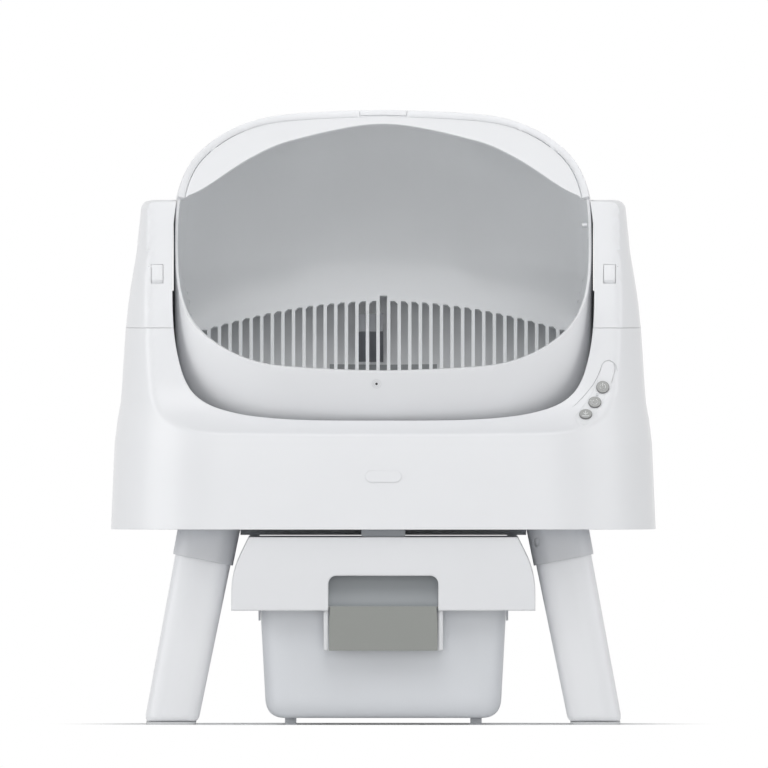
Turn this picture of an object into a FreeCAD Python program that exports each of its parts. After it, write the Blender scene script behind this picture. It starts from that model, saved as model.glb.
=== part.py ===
import FreeCAD
import Part
import math
import os

V = FreeCAD.Vector

# Self-cleaning litter box in millimetres: X to the right, Y to the back, Z up from the floor.
# A tilting drum turns about a left-right axle between two towers, above a pull-out waste drawer.

# Housing
body_width = 572.0
body_depth = 430.0
body_base_z = 205.0
drum_radius = 211.5
drum_floor_gap = 16.5
axle_z = body_base_z + drum_radius + drum_floor_gap
tower_rise = 117.0
tower_top_z = axle_z + tower_rise
seam_drop = 16.7
cover_seam_z = axle_z - seam_drop
seam_gap = 0.5
wall = 3.0
plan_side_radius = 1500.0
plan_front_radius = 3000.0
plan_corner_radius = 107.0
body_taper = ((0.0, 0.0, 0.0), (0.245, 3.5, 3.5), (0.39, 10.5, 10.0), (0.61, 15.5, 22.0), (1.0, 31.5, 34.0))

# Saddle: the side profile of the shelf, its sweep up to the towers and the tower tops
shelf_slope = 22.0
saddle_radius = 85.0
tower_slope = 73.0
saddle_inset = 6.0
saddle_y = body_depth / 2 - saddle_inset
saddle_rise = 100.5
tower_edge_radius = 12.0

# Drum: a barrel of revolution about the axle, cut open by the sloping rim plane
tower_room = 70.0
drum_half_width = body_width / 2 - tower_room
drum_wall = 3.0
crown_radius = 1000.0
shoulder_radius = 145.0
corner_radius = 87.0
shoulder_start = 5.7
corner_start = 43.5
rim_tilt = 48.3
rim_drop = 101.5
rim_distance = drum_radius - rim_drop
tub_wall = 2.5

# Well between the towers: its shape as shares of its half width and radius, with room for the drum
well_shape = ((0.38375, 1.0), (0.6772, 0.95315), (0.8307, 0.89803), (0.92551, 0.81764),
              (0.97517, 0.72347), (1.0, 0.61093))
well_radial_gap = 6.2
well_side_gap = 5.5
well_half = drum_half_width + well_side_gap
well_meridian = [(x * well_half, r * (drum_radius + well_radial_gap)) for x, r in well_shape]
axle_slot_gap = 8.0

# Visor: a ring on the upper half of the rim, a flat guard panel inside it and a release tab
visor_start = 0.28842 * drum_radius
ring_stand = 3.2
ring_inset = 5.0
ring_skirt = 8.0
ring_height = 4.2
panel_thickness = 2.8
panel_shape = ((0.0, 0.77069), (0.20833, 0.74232), (0.41667, 0.6714), (0.69444, 0.50591), (0.98148, 0.27896))
panel_edge = [(x * drum_half_width, y * drum_radius) for x, y in panel_shape]
tab_width = 49.0
tab_depth = 6.0
tab_gap = 0.5
tab_travel = 1.5
peg_radius = 2.2
peg_drop = 102.0
peg_y = -0.5568 * (drum_radius - peg_drop)
peg_rise = 0.83065 * (drum_radius - peg_drop)
peg_seat = 2.0
peg_length = 5.5

# Sieve and baffle inside the drum
sieve_top_y = 0.79433 * drum_radius
sieve_top_rise = 14.0
sieve_slope = 58.0
sieve_thickness = 3.0
slot_pitch = 11.1
slot_width = 7.4
slot_room = 3.0
slot_top_rise = 7.6
slot_top_radius = 670.0
centre_slot_extra = 4.8
slot_chamfer = 3.2
slot_end_margin = 14.0
baffle_radius = 0.82742 * drum_radius
baffle_thickness = 2.6

# Axle, bearings and drive
hub_radius = 22.0
hub_flange_radius = 40.0
hub_flange_thickness = 2.6
hub_length = 33.0
hub_end_x = drum_half_width + hub_length
bearing_clearance = 0.06
bush_wall = 5.0
block_width = 7.0
block_half_depth = 34.0
block_drop = 48.0
gear_module = 3.0
gear_teeth = 42
pinion_teeth = 12
gear_width = 8.0
gear_offset = 17.0
gear_inner_x = drum_half_width + gear_offset
gear_backlash = 0.5
shaft_radius = 4.0
gearbox_height = 48.0
gearbox_depth = 22.0
motor_radius = 14.0
motor_length = 62.0

# Waste chute and the plate that closes the housing
chute_half_x = 0.174825 * body_width
chute_half_y = 0.172093 * body_depth
chute_rise = 71.0
chute_top_z = body_base_z + chute_rise
chute_wall = 2.5
chute_flange_side = 50.0
chute_flange_end = 38.0
chute_flange_x = chute_half_x + chute_flange_side
chute_flange_y = chute_half_y + chute_flange_end
chute_flange = 6.0
pan_thickness = 3.0
runner_width = 10.0
runner_gap = 0.3
catch_width = 46.0
catch_depth = 12.0
catch_inset = 12.0
catch_front_y = catch_inset - body_depth / 2

# Waste drawer
skirt_top_z = 197.2
skirt_base_z = 119.8
skirt_half_width = 0.2792 * body_width
skirt_top_inset = 18.7
skirt_shoulder_z = 176.0
skirt_shoulder_inset = 8.4
skirt_front_inset = 9.0
skirt_back_inset = 65.0
skirt_front_y = skirt_front_inset - body_depth / 2
skirt_back_y = body_depth / 2 - skirt_back_inset
skirt_wall = 3.0
grip_half_width = 56.4
grip_gap = 1.3
cutout_top_z = 156.5
cutout_radius = 8.5
grip_base_z = 78.0
grip_bend_z = 125.0
grip_scoop = 19.0
grip_back_y = skirt_front_y + grip_scoop
cheek_thickness = 5.0
bin_top_z = 186.0
bin_base_z = 7.0
bin_side_gap = 36.9
bin_half_width = skirt_half_width - bin_side_gap
bin_draft = 0.054
bin_front_gap = 29.0
bin_front_y = skirt_front_y + bin_front_gap
bin_back_y = skirt_back_y - skirt_wall - bin_draft * (bin_top_z - bin_base_z)
bin_corner = 26.0
bin_wall = 2.5
bin_foot_inset = 39.0
bin_foot_size = 12.0
bag_ring_width = 17.0
bag_ring_thickness = 5.0
clip_front = 27.0
clip_length = 30.0
clip_thickness = 2.2
clip_drop = 10.5
clip_rise = 8.0

# Legs and the collars that hold them
leg_inset_x = 103.0
leg_inset_y = 78.0
leg_top_x = body_width / 2 - leg_inset_x
leg_top_y = body_depth / 2 - leg_inset_y
leg_splay_x = 0.195
leg_splay_y = 0.1
leg_half_x = 28.1
leg_half_y = 30.0
leg_taper = 0.0105
leg_corner = 19.0
leg_wall = 4.0
pad_thickness = 3.0
collar_margin = 2.6
collar_socket = 1.0
collar_depth = 32.0
collar_hole_offset = 21.8
collar_hole_x = leg_top_x - collar_hole_offset
collar_hole_z = 191.4
collar_hole_width = 5.2
collar_hole_height = 9.4

# Controls: three round buttons and a lamp along a pad on the right-hand corner of the saddle
button_names = ("power_button", "clean_button", "level_button")
button_insets = ((55.6, 353.9), (63.9, 337.9), (73.5, 325.2))
button_places = [(body_width / 2 - inset, z) for inset, z in button_insets]
button_radius = 6.8
button_gap = 0.3
button_stand = 2.4
flange_radius = 8.2
flange_depth = 3.7
flange_thickness = 1.5
stem_radius = 2.5
stem_depth = 8.5
pad_insets = ((50.5, 374.0), (62.4, 341.5), (76.5, 322.5))
pad_half_width = 9.5
pad_stand = 0.8
light_inset = 61.6
light_place = (body_width / 2 - light_inset, 346.5)
light_radius = 1.5
light_stand = 1.1
board_depth = 12.0
board_thickness = 1.6
board_half_width = 10.0
board_half_length = 33.0
board_turn = 27.5
post_radius = 2.5

# Badge, latches, power inlet and the magnet and sensor that tell the drum's home position
badge_half_width = 19.0
badge_half_height = 6.3
badge_z = 260.9
badge_stand = 0.7
latch_inset = 48.5
latch_x = body_width / 2 - latch_inset
latch_width = 12.0
latch_top_z = 483.0
latch_base_z = 463.6
latch_gap = 0.5
latch_proud = 1.0
latch_pin_radius = 1.1
latch_pin_gap = 0.1
latch_pin_drop = 2.0
latch_pin_length = 18.0
inlet_x = 120.0
inlet_z = 232.0
inlet_half = 6.0
inlet_length = 16.0
inlet_bore_radius = 2.75
inlet_bore_length = 9.0
magnet_radius = 1.6
magnet_thickness = 2.0
magnet_x = -7.1
magnet_drop = 75.0
sensor_angle = 50.0
sensor_half = 6.0
sensor_thickness = 6.0


def arc(a, b, c):
    return Part.Arc(a, b, c).toShape()


def box(x0, x1, y0, y1, z0, z1):
    return Part.makeBox(x1 - x0, y1 - y0, z1 - z0, V(x0, y0, z0))


def rod_x(radius, x0, x1, y, z):
    return Part.makeCylinder(radius, x1 - x0, V(x0, y, z), V(1, 0, 0))


def mirrored(shape, mirror_x, mirror_y):
    if mirror_x:
        shape = shape.mirror(V(0, 0, 0), V(1, 0, 0))
    if mirror_y:
        shape = shape.mirror(V(0, 0, 0), V(0, 1, 0))
    return shape


def prism(edges, direction):
    return Part.Face(Part.Wire(edges)).extrude(direction)


def polygon_prism(points, direction):
    return Part.Face(Part.makePolygon(points + points[:1])).extrude(direction)


def save(name, shape):
    shape.exportStep("parts/" + name + ".step")


# Housing outline in plan: broad arcs on the sides and front joined by tangent corner arcs
def plan_outline(z, half_w, half_d, corner):
    side_c = half_w - plan_side_radius
    front_c = half_d - plan_front_radius
    to_side = plan_side_radius - corner
    to_front = plan_front_radius - corner
    apart = math.hypot(side_c, front_c)
    along = (to_side ** 2 - to_front ** 2 + apart ** 2) / (2 * apart)
    aside = math.sqrt(to_side ** 2 - along ** 2)
    ux = -side_c / apart
    uy = front_c / apart
    cx = side_c + along * ux - aside * uy
    cy = along * uy + aside * ux
    side_end = V(side_c + (cx - side_c) * plan_side_radius / to_side, cy * plan_side_radius / to_side, z)
    front_end = V(cx * plan_front_radius / to_front,
                  front_c + (cy - front_c) * plan_front_radius / to_front, z)
    turn = (math.atan2(side_end.y - cy, side_end.x - cx) + math.atan2(front_end.y - cy, front_end.x - cx)) / 2
    corner_mid = V(cx + corner * math.cos(turn), cy + corner * math.sin(turn), z)

    def at(p, sx, sy):
        return V(p.x * sx, p.y * sy, z)

    edges = []
    for sx, sy in ((1, -1), (1, 1), (-1, 1), (-1, -1)):
        quarter = [at(side_end, sx, sy), at(corner_mid, sx, sy), at(front_end, sx, sy)]
        if sx * sy < 0:
            quarter.reverse()
        edges.append(arc(*quarter))
        if sx * sy < 0:
            edges.append(arc(at(side_end, sx, sy), V(half_w * sx, 0, z), at(side_end, sx, -sy)))
        else:
            edges.append(arc(at(front_end, sx, sy), V(0, half_d * sy, z), at(front_end, -sx, sy)))
    return Part.Wire(edges)


# Housing as a stack of ruled bands, drawn in by an offset for its inner skin
def body_loft(offset):
    wires = []
    for share, side_inset, front_inset in body_taper:
        z = body_base_z + share * (tower_top_z - body_base_z)
        wires.append(plan_outline(z, body_width / 2 - side_inset - offset, body_depth / 2 - front_inset - offset,
                                  plan_corner_radius - offset))
    return Part.makeLoft(wires, True, True)


# Side profile of the shelf and tower at an offset inside the outer surface
def saddle_solid(offset):
    low, high = math.radians(shelf_slope), math.radians(tower_slope)
    centre = V(0, -saddle_y - saddle_radius * math.sin(low),
               body_base_z + saddle_rise + saddle_radius * math.cos(low))
    radius = saddle_radius + offset

    def on_arc(angle):
        return centre + V(0, radius * math.sin(angle), -radius * math.cos(angle))

    start, bend, end = on_arc(low), on_arc((low + high) / 2), on_arc(high)
    reach = body_depth
    front = start - V(0, reach, reach * math.tan(low))
    top = tower_top_z - offset
    top_y = end.y + (top - end.z) / math.tan(high)
    edge = tower_edge_radius - offset
    tangent = edge * math.tan(high / 2)
    slope_end = V(0, top_y - tangent * math.cos(high), top - tangent * math.sin(high))
    flat_start = V(0, top_y + tangent, top)
    edge_centre = V(0, flat_start.y, top - edge)
    edge_mid = edge_centre + V(0, -edge * math.sin(high / 2), edge * math.cos(high / 2))
    points = [(front, start), (start, bend, end), (end, slope_end), (slope_end, edge_mid, flat_start)]
    floor_z = 0.0
    edges = [Part.makeLine(V(0, front.y, floor_z), front)]
    for row in points:
        edges.append(Part.makeLine(*row) if len(row) == 2 else arc(*row))
    edges.append(Part.makeLine(flat_start, V(0, -flat_start.y, top)))
    for row in reversed(points):
        back = [V(0, -p.y, p.z) for p in reversed(row)]
        edges.append(Part.makeLine(*back) if len(back) == 2 else arc(*back))
    edges.append(Part.makeLine(V(0, -front.y, front.z), V(0, -front.y, floor_z)))
    edges.append(Part.makeLine(V(0, -front.y, floor_z), V(0, front.y, floor_z)))
    shape = prism(edges, V(body_width, 0, 0))
    shape.translate(V(-body_width / 2, 0, 0))
    return shape


# Point on the front of the saddle at a height, with the lean of its outward normal from the vertical
def saddle_frame(x, z):
    low, high = math.radians(shelf_slope), math.radians(tower_slope)
    centre_y = -saddle_y - saddle_radius * math.sin(low)
    centre_z = body_base_z + saddle_rise + saddle_radius * math.cos(low)
    end_z = centre_z - saddle_radius * math.cos(high)
    if z > end_z:
        end_y = centre_y + saddle_radius * math.sin(high)
        return V(x, end_y + (z - end_z) / math.tan(high), z), high
    lean = math.acos((centre_z - z) / saddle_radius)
    return V(x, centre_y + saddle_radius * math.sin(lean), z), lean


# From a saddle point's own frame (X across, Y up the surface, Z outwards) to the object's
def on_saddle(shape, x, z):
    place, lean = saddle_frame(x, z)
    shape.rotate(V(0, 0, 0), V(1, 0, 0), math.degrees(lean))
    shape.translate(place)
    return shape


# Meridian of the drum at an offset: crown, shoulder and corner arcs drawn in short chords
def barrel_meridian(offset):
    a1, a2 = math.radians(shoulder_start), math.radians(corner_start)
    crown_c = (0.0, drum_radius - crown_radius)
    step = crown_radius - shoulder_radius
    shoulder_c = (step * math.sin(a1), crown_c[1] + step * math.cos(a1))
    step = shoulder_radius - corner_radius
    corner_c = (shoulder_c[0] + step * math.sin(a2), shoulder_c[1] + step * math.cos(a2))
    stretch = drum_half_width - corner_c[0] - corner_radius
    rows = [(crown_c, crown_radius, (a1 / 3, a1), 0.0),
            (shoulder_c, shoulder_radius, ((a1 + a2) / 2, a2), stretch),
            (corner_c, corner_radius, ((a2 + math.pi / 2) / 2, math.pi / 2), stretch)]
    points = []
    for (cx, cr), radius, angles, shift in rows:
        for angle in angles:
            points.append((cx + shift + (radius + offset) * math.sin(angle),
                           cr + (radius + offset) * math.cos(angle)))
    return points


# Solid of revolution about the X axis through the origin, the same on both sides of its middle
def revolved(side):
    points = [V(-x, 0, r) for x, r in reversed(side)] + [V(x, 0, r) for x, r in side]
    points += [V(side[-1][0], 0, 0), V(-side[-1][0], 0, 0)]
    face = Part.Face(Part.makePolygon(points + points[:1]))
    return face.revolve(V(0, 0, 0), V(1, 0, 0), 360)


def barrel(offset):
    return revolved(barrel_meridian(offset))


# Radius of the barrel at a distance from its middle
def barrel_radius(x, offset):
    side = barrel_meridian(offset)
    side.insert(0, (0.0, side[0][1]))
    for (x0, r0), (x1, r1) in zip(side, side[1:]):
        if x <= x1:
            return r0 + (r1 - r0) * (x - x0) / (x1 - x0)
    return side[-1][1]


def at_axle(shape):
    shape.translate(V(0, 0, axle_z))
    return shape


# From the rim's own frame (X across, Y up along the rim, Z out of the mouth) to the object's
def on_rim(shape):
    shape.rotate(V(0, 0, 0), V(1, 0, 0), rim_tilt)
    return at_axle(shape)


def rim_slab(low, high):
    reach = 2 * drum_radius
    return box(-reach, reach, -reach, reach, low, high)


# Outer skin of the tub, its wall outside the well in every direction
def tub_block():
    return at_axle(revolved([(x * (1 + tub_wall / well_half), r + tub_wall) for x, r in well_meridian]))


def build_housing():
    well = at_axle(revolved(well_meridian))
    tub_outside = tub_block()
    full = body_loft(0.0).common(saddle_solid(0.0))
    inner_skin = body_loft(wall)
    cavity = inner_skin.common(saddle_solid(wall)).cut(tub_outside)
    walls = full.cut(cavity).cut(well)
    reach = body_width
    lower = walls.common(box(-reach, reach, -reach, reach, 0, cover_seam_z))
    slot_half = hub_radius + axle_slot_gap
    chute_hole = box(-chute_half_x, chute_half_x, -chute_half_y, chute_half_y, body_base_z, axle_z)
    tub = lower.common(tub_outside).cut(chute_hole).cut(rod_x(slot_half, -hub_end_x, hub_end_x, 0, axle_z))
    housing = lower.cut(tub_outside)
    pan = inner_skin.common(box(-reach, reach, -reach, reach, body_base_z, body_base_z + pan_thickness))
    pan = pan.cut(box(-chute_half_x, chute_half_x, -chute_half_y, chute_half_y, 0, axle_z))
    # Covers: the tower shells above the seam, slotted from below to lift past axle and bearing
    slot = rod_x(slot_half, 0, hub_end_x, 0, axle_z).fuse(box(0, hub_end_x, -slot_half, slot_half, 0, axle_z))
    inner = well_half + tub_wall - seam_gap
    side = block_half_depth + seam_gap
    slot = slot.fuse(box(inner, hub_end_x, -side, side, 0, axle_z + block_half_depth + seam_gap))
    covers = []
    for mirror_x in (True, False):
        half = box(0, reach, -reach, reach, cover_seam_z + seam_gap, tower_top_z + wall)
        covers.append(walls.common(mirrored(half, mirror_x, False)).cut(mirrored(slot, mirror_x, False)))
    return housing, tub, pan, covers


# Chute that carries waste from the tub's floor down to the drawer
def build_chute():
    base = body_base_z - chute_flange
    outer = box(-chute_half_x, chute_half_x, -chute_half_y, chute_half_y, base, chute_top_z)
    flange = box(-chute_flange_x, chute_flange_x, -chute_flange_y, chute_flange_y, base, body_base_z)
    inside_x, inside_y = chute_half_x - chute_wall, chute_half_y - chute_wall
    bore = box(-inside_x, inside_x, -inside_y, inside_y, 0, axle_z)
    return outer.cut(at_axle(revolved(well_meridian))).fuse(flange).cut(bore).removeSplitter()


# Runner strips under the chute's flange that hold the drawer's top down with a small gap
def build_runners():
    inner = chute_flange_x - 2 * runner_width
    return pair(box(inner, inner + runner_width, -chute_flange_y, chute_flange_y,
                    skirt_top_z + runner_gap, body_base_z - chute_flange))


def build_drum():
    outside, inside = barrel(0.0), barrel(-drum_wall)
    mouth = rim_slab(rim_distance, 2 * drum_radius)
    bowl = on_rim(outside.cut(inside).cut(mouth))
    cavity = at_axle(barrel(-drum_wall))
    return bowl, cavity


def build_visor():
    outer, rim, inner = barrel(ring_stand), barrel(0.0), barrel(-ring_inset)
    reach = 2 * drum_radius
    upper = box(-reach, reach, visor_start, reach, 0, reach)
    skirt = outer.cut(rim).common(rim_slab(rim_distance - ring_skirt, rim_distance))
    cap = outer.cut(inner).common(rim_slab(rim_distance, rim_distance + ring_height))
    ring = skirt.fuse(cap).common(upper)
    # The release tab fills a notch in the ring's crown, with room behind it to be pressed in
    crown = math.sqrt(barrel_radius(0, ring_stand) ** 2 - (rim_distance + ring_height) ** 2)
    half = tab_width / 2
    tab_space = box(-half - tab_gap, half + tab_gap, crown - tab_depth - tab_travel - tab_gap, reach,
                    rim_distance + tab_gap, rim_distance + 2 * ring_height)
    ring = ring.cut(tab_space)
    tab = barrel(ring_stand).common(box(-half, half, crown - tab_depth, reach, rim_distance + 2 * tab_gap,
                                        rim_distance + ring_height + tab_gap))
    points = [V(-x, y, 0) for x, y in reversed(panel_edge[1:])] + [V(x, y, 0) for x, y in panel_edge]
    curve = Part.BSplineCurve()
    curve.interpolate(points)
    ends = points[-1], V(reach, points[-1].y, 0), V(reach, reach, 0), V(-reach, reach, 0), \
        V(-reach, points[0].y, 0), points[0]
    edges = [curve.toShape()] + [Part.makeLine(a, b) for a, b in zip(ends, ends[1:])]
    outline = prism(edges, V(0, 0, reach))
    low = rim_distance + (ring_height - panel_thickness) / 2
    panel = inner.common(rim_slab(low, low + panel_thickness)).common(outline).common(upper)
    return on_rim(ring), on_rim(tab), on_rim(panel)


# Directions in the side plane of the sieve: down its slope, and square to it towards the back
def sieve_frame():
    slope = math.radians(sieve_slope)
    top = V(0, sieve_top_y, axle_z + sieve_top_rise)
    return top, V(0, -math.cos(slope), -math.sin(slope)), V(0, math.sin(slope), -math.cos(slope))


def build_sieve(cavity):
    top, down, back = sieve_frame()
    reach = 2 * drum_radius
    corners = [top, top + down * reach, top + down * reach + back * sieve_thickness,
               top + back * sieve_thickness]
    plate = polygon_prism([p - V(reach / 2, 0, 0) for p in corners], V(reach, 0, 0)).common(cavity)
    level = top - V(0, 0, axle_z)
    along = level.dot(down)
    clear = math.sqrt(level.dot(level) - along ** 2) + slot_end_margin + drum_wall
    slots = []
    count = 0
    while barrel_radius((count + 1) * slot_pitch + slot_width, 0.0) > clear + slot_room:
        count += 1
    for index in range(-count, count + 1):
        x = index * slot_pitch
        arc_drop = slot_top_radius - math.sqrt(slot_top_radius ** 2 - x ** 2)
        rise = slot_top_rise - arc_drop + (centre_slot_extra if index == 0 else 0.0)
        start = (sieve_top_rise - rise) / math.sin(math.radians(sieve_slope))
        foot = barrel_radius(abs(x) + slot_width, -drum_wall) - slot_end_margin
        end = -along + math.sqrt(along ** 2 - level.dot(level) + foot ** 2)
        chamfer = 0.0 if index == 0 else slot_chamfer
        left = chamfer if index < 0 else 0.0
        right = chamfer if index > 0 else 0.0
        half = slot_width / 2
        base = top - back * sieve_thickness
        outline = [base + down * (start + left) + V(x - half, 0, 0), base + down * end + V(x - half, 0, 0),
                   base + down * end + V(x + half, 0, 0), base + down * (start + right) + V(x + half, 0, 0)]
        if chamfer:
            outline.append(base + down * start + V(x + (right - half if right else half - left), 0, 0))
        slots.append(polygon_prism(outline, back * (3 * sieve_thickness)))
    return plate.cut(Part.makeCompound(slots))


# Baffle that closes the litter chamber from the sieve's top up to the guard panel
def build_baffle(cavity):
    low = V(0, sieve_top_y, axle_z + sieve_top_rise)
    tilt = math.radians(rim_tilt)
    out = V(0, -math.sin(tilt), math.cos(tilt))
    up = V(0, math.cos(tilt), math.sin(tilt))
    high = V(0, 0, axle_z) + out * rim_distance + up * (panel_edge[0][1] + baffle_thickness)
    middle = (low + high) / 2
    chord = high - low
    outward = V(0, chord.z, -chord.y)
    outward.normalize()
    drop = math.sqrt(baffle_radius ** 2 - (chord.Length / 2) ** 2)
    centre = middle - outward * drop

    def at_radius(radius, point):
        ray = point - centre
        ray.normalize()
        return centre + ray * radius

    thick = baffle_radius + baffle_thickness
    bulge = centre + outward * baffle_radius
    edges = [arc(low, bulge, high), Part.makeLine(high, at_radius(thick, high)),
             arc(at_radius(thick, high), at_radius(thick, bulge), at_radius(thick, low)),
             Part.makeLine(at_radius(thick, low), low)]
    shape = prism(edges, V(4 * drum_radius, 0, 0))
    shape.translate(V(-2 * drum_radius, 0, 0))
    return shape.common(cavity).cut(on_rim(rim_slab(rim_distance, 2 * drum_radius)))


# Keeper block behind the sieve that ties it to the drum's back wall
def build_keeper(cavity):
    top, down, back = sieve_frame()
    start = top + down * (1.6 * slot_pitch) + back * sieve_thickness
    corners = [start, start + down * (2 * slot_pitch), start + down * (2 * slot_pitch) + back * drum_radius,
               start + back * drum_radius]
    half = 0.5 * slot_pitch
    solid = polygon_prism([p - V(2.5 * slot_pitch, 0, 0) for p in corners], V(2 * slot_pitch + half, 0, 0))
    return solid.common(cavity)


# Flange welded to the bowl's side, and the hub that stands on it and turns in the bush
def build_trunnion():
    face = barrel_meridian(0.0)[-1][0]
    step = face + hub_flange_thickness
    return rod_x(hub_flange_radius, face, step, 0, axle_z), rod_x(hub_radius, step, hub_end_x, 0, axle_z)


# Bearing block standing on the tub's side wall, with a plain bush round the trunnion
def build_bearing():
    inner = well_half + tub_wall
    outer = inner + block_width
    seat = hub_radius + bearing_clearance + bush_wall
    block = box(inner, outer, -block_half_depth, block_half_depth, axle_z - block_drop, axle_z)
    block = block.fuse(rod_x(block_half_depth, inner, outer, 0, axle_z))
    block = block.cut(rod_x(seat, inner, outer, 0, axle_z)).removeSplitter()
    bush = rod_x(seat, inner, outer, 0, axle_z).cut(rod_x(hub_radius + bearing_clearance, inner, outer, 0, axle_z))
    return block, bush


def pair(shape):
    return Part.makeCompound([mirrored(shape, True, False), shape])


# Spur gear with straight-flanked teeth, centred on the origin and extruded along X
def spur_gear(teeth, first_angle):
    pitch = gear_module * teeth / 2
    root, tip = pitch - 1.2 * gear_module, pitch + 0.9 * gear_module
    tooth = 2 * math.pi / teeth
    half_pitch = tooth / 4 - gear_backlash / 2 / pitch
    half_root = half_pitch + 1.2 * gear_module * math.tan(math.radians(20)) / pitch
    half_tip = half_pitch - 0.9 * gear_module * math.tan(math.radians(22)) / pitch
    points = []
    for index in range(teeth):
        middle = first_angle + index * tooth
        for radius, angle in ((root, -half_root), (tip, -half_tip), (tip, half_tip), (root, half_root)):
            points.append(V(0, radius * math.cos(middle + angle), radius * math.sin(middle + angle)))
    return polygon_prism(points, V(gear_width, 0, 0))


def build_drive():
    gear = spur_gear(gear_teeth, -math.pi / 2)
    gear.translate(V(gear_inner_x, 0, axle_z))
    gear = gear.cut(rod_x(hub_radius, 0, hub_end_x, 0, axle_z))
    gap = gear_module * (gear_teeth + pinion_teeth) / 2
    pinion_z = axle_z - gap
    pinion = spur_gear(pinion_teeth, math.pi / 2 + math.pi / pinion_teeth)
    pinion.translate(V(gear_inner_x, 0, pinion_z))
    box_x = gear_inner_x + gear_width + 2.5
    shaft_end = box_x + gearbox_depth / 2
    pinion = pinion.fuse(rod_x(shaft_radius, gear_inner_x, shaft_end, 0, pinion_z)).removeSplitter()
    half_y = 38.0
    half_z = gearbox_height / 2
    case = box(box_x, box_x + gearbox_depth, -half_y, half_y, pinion_z - half_z, pinion_z + half_z)
    can_x = box_x + gearbox_depth / 2
    can = Part.makeCylinder(motor_radius, motor_length + 1, V(can_x, 0, pinion_z - half_z - motor_length))
    case = case.fuse(can)
    case = case.cut(rod_x(shaft_radius + bearing_clearance, box_x, shaft_end + 1, 0, pinion_z)).removeSplitter()
    inner = well_half + tub_wall
    plate_top = min(pinion_z + half_z, axle_z - block_drop - 1)
    mount = box(inner, inner + 4, -half_y, half_y, pinion_z - half_z / 2, plate_top)
    for side in (-1, 1):
        post = box(inner + 4, box_x, half_y - 8, half_y, pinion_z - half_z / 2, pinion_z + half_z / 2)
        mount = mount.fuse(mirrored(post, False, side < 0))
    return gear, pinion, case, mount.removeSplitter()


def rounded_rect(z, x0, x1, y0, y1, radius):
    k = radius * (1 - math.sqrt(0.5))
    corners = [(x1, y0, -1, 1), (x1, y1, -1, -1), (x0, y1, 1, -1), (x0, y0, 1, 1)]
    arcs = []
    for index, (x, y, dx, dy) in enumerate(corners):
        along_y = V(x, y + dy * radius, z)
        along_x = V(x + dx * radius, y, z)
        mid = V(x + dx * k, y + dy * k, z)
        ends = (along_x, mid, along_y) if index % 2 == 0 else (along_y, mid, along_x)
        arcs.append(ends)
    edges = []
    for index, ends in enumerate(arcs):
        edges.append(arc(*ends))
        edges.append(Part.makeLine(ends[2], arcs[(index + 1) % 4][0]))
    return Part.Wire(edges)


# Half sizes and centre of the front right leg at a height, grown by an offset
def leg_bounds(z, offset):
    down = body_base_z - z
    cx, cy = leg_top_x + leg_splay_x * down, -leg_top_y - leg_splay_y * down
    hx, hy = leg_half_x + leg_taper * z + offset, leg_half_y + leg_taper * z + offset
    return cx - hx, cx + hx, cy - hy, cy + hy


def leg_section(z, offset):
    return rounded_rect(z, *leg_bounds(z, offset), leg_corner + offset)


# The same section with each corner drawn as short chords
def leg_polygon(z, offset, steps):
    x0, x1, y0, y1 = leg_bounds(z, offset)
    radius = leg_corner + offset
    points = []
    for quarter, (x, y) in enumerate(((x1 - radius, y1 - radius), (x0 + radius, y1 - radius),
                                      (x0 + radius, y0 + radius), (x1 - radius, y0 + radius))):
        for index in range(steps + 1):
            turn = math.radians(90 * (quarter + index / steps))
            points.append(V(x + radius * math.cos(turn), y + radius * math.sin(turn), z))
    return Part.makePolygon(points + points[:1])


# Lay a level section of the leg square to the leg's own lean
def tipped(section, z):
    down = body_base_z - z
    centre = V(leg_top_x + leg_splay_x * down, -leg_top_y - leg_splay_y * down, z)
    section.rotate(centre, V(0, 1, 0), -math.degrees(math.atan(leg_splay_x)))
    return section


# Front right leg with its foot pad and collar; the others are its mirror images
def build_leg():
    outer = Part.makeLoft([leg_section(pad_thickness, 0), leg_section(body_base_z, 0)], True, True)
    inner = Part.makeLoft([leg_polygon(4 * pad_thickness, -leg_wall, 2), leg_polygon(body_base_z, -leg_wall, 2)],
                          True, True)
    pad = Part.makeLoft([leg_polygon(0, -2, 3), leg_polygon(pad_thickness, -2, 3)], True, True)
    low = body_base_z - collar_depth
    shell = Part.makeLoft([tipped(leg_section(low, collar_margin), low),
                           leg_section(body_base_z, collar_margin)], True, True)
    socket = Part.makeLoft([tipped(leg_polygon(low, collar_socket, 3), low),
                            leg_polygon(body_base_z, collar_socket, 3)], True, True)
    return outer.cut(inner), pad, shell.cut(socket)


# Release slot through the front wall of a collar
def collar_hole():
    half, high = collar_hole_width / 2, collar_hole_height / 2
    y = -leg_top_y
    ends = []
    for side in (-1, 1):
        end = V(collar_hole_x, y, collar_hole_z + side * (high - half))
        ends.append(Part.makeCylinder(half, body_depth, end, V(0, -1, 0)))
    middle = box(collar_hole_x - half, collar_hole_x + half, y - body_depth, y,
                 collar_hole_z - high + half, collar_hole_z + high - half)
    return middle.fuse(ends)


# Outline of the skirt seen from the front, drawn in by an offset
def skirt_outline(y, offset, base):
    top = skirt_top_z - offset
    half = skirt_half_width - offset
    shoulder, crown = half - skirt_shoulder_inset, half - skirt_top_inset
    straight_z = skirt_base_z + 15
    right = [V(half, y, base), V(half, y, straight_z), V(shoulder, y, skirt_shoulder_z), V(crown, y, top)]
    bow = V(half - 2.2, y, (straight_z + skirt_shoulder_z) / 2 + 2)
    left = [V(-p.x, p.y, p.z) for p in right]
    return [Part.makeLine(right[0], right[1]), arc(right[1], bow, right[2]), Part.makeLine(right[2], right[3]),
            Part.makeLine(right[3], left[3]), Part.makeLine(left[3], left[2]),
            arc(left[2], V(-bow.x, bow.y, bow.z), left[1]), Part.makeLine(left[1], left[0]),
            Part.makeLine(left[0], right[0])]


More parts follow.
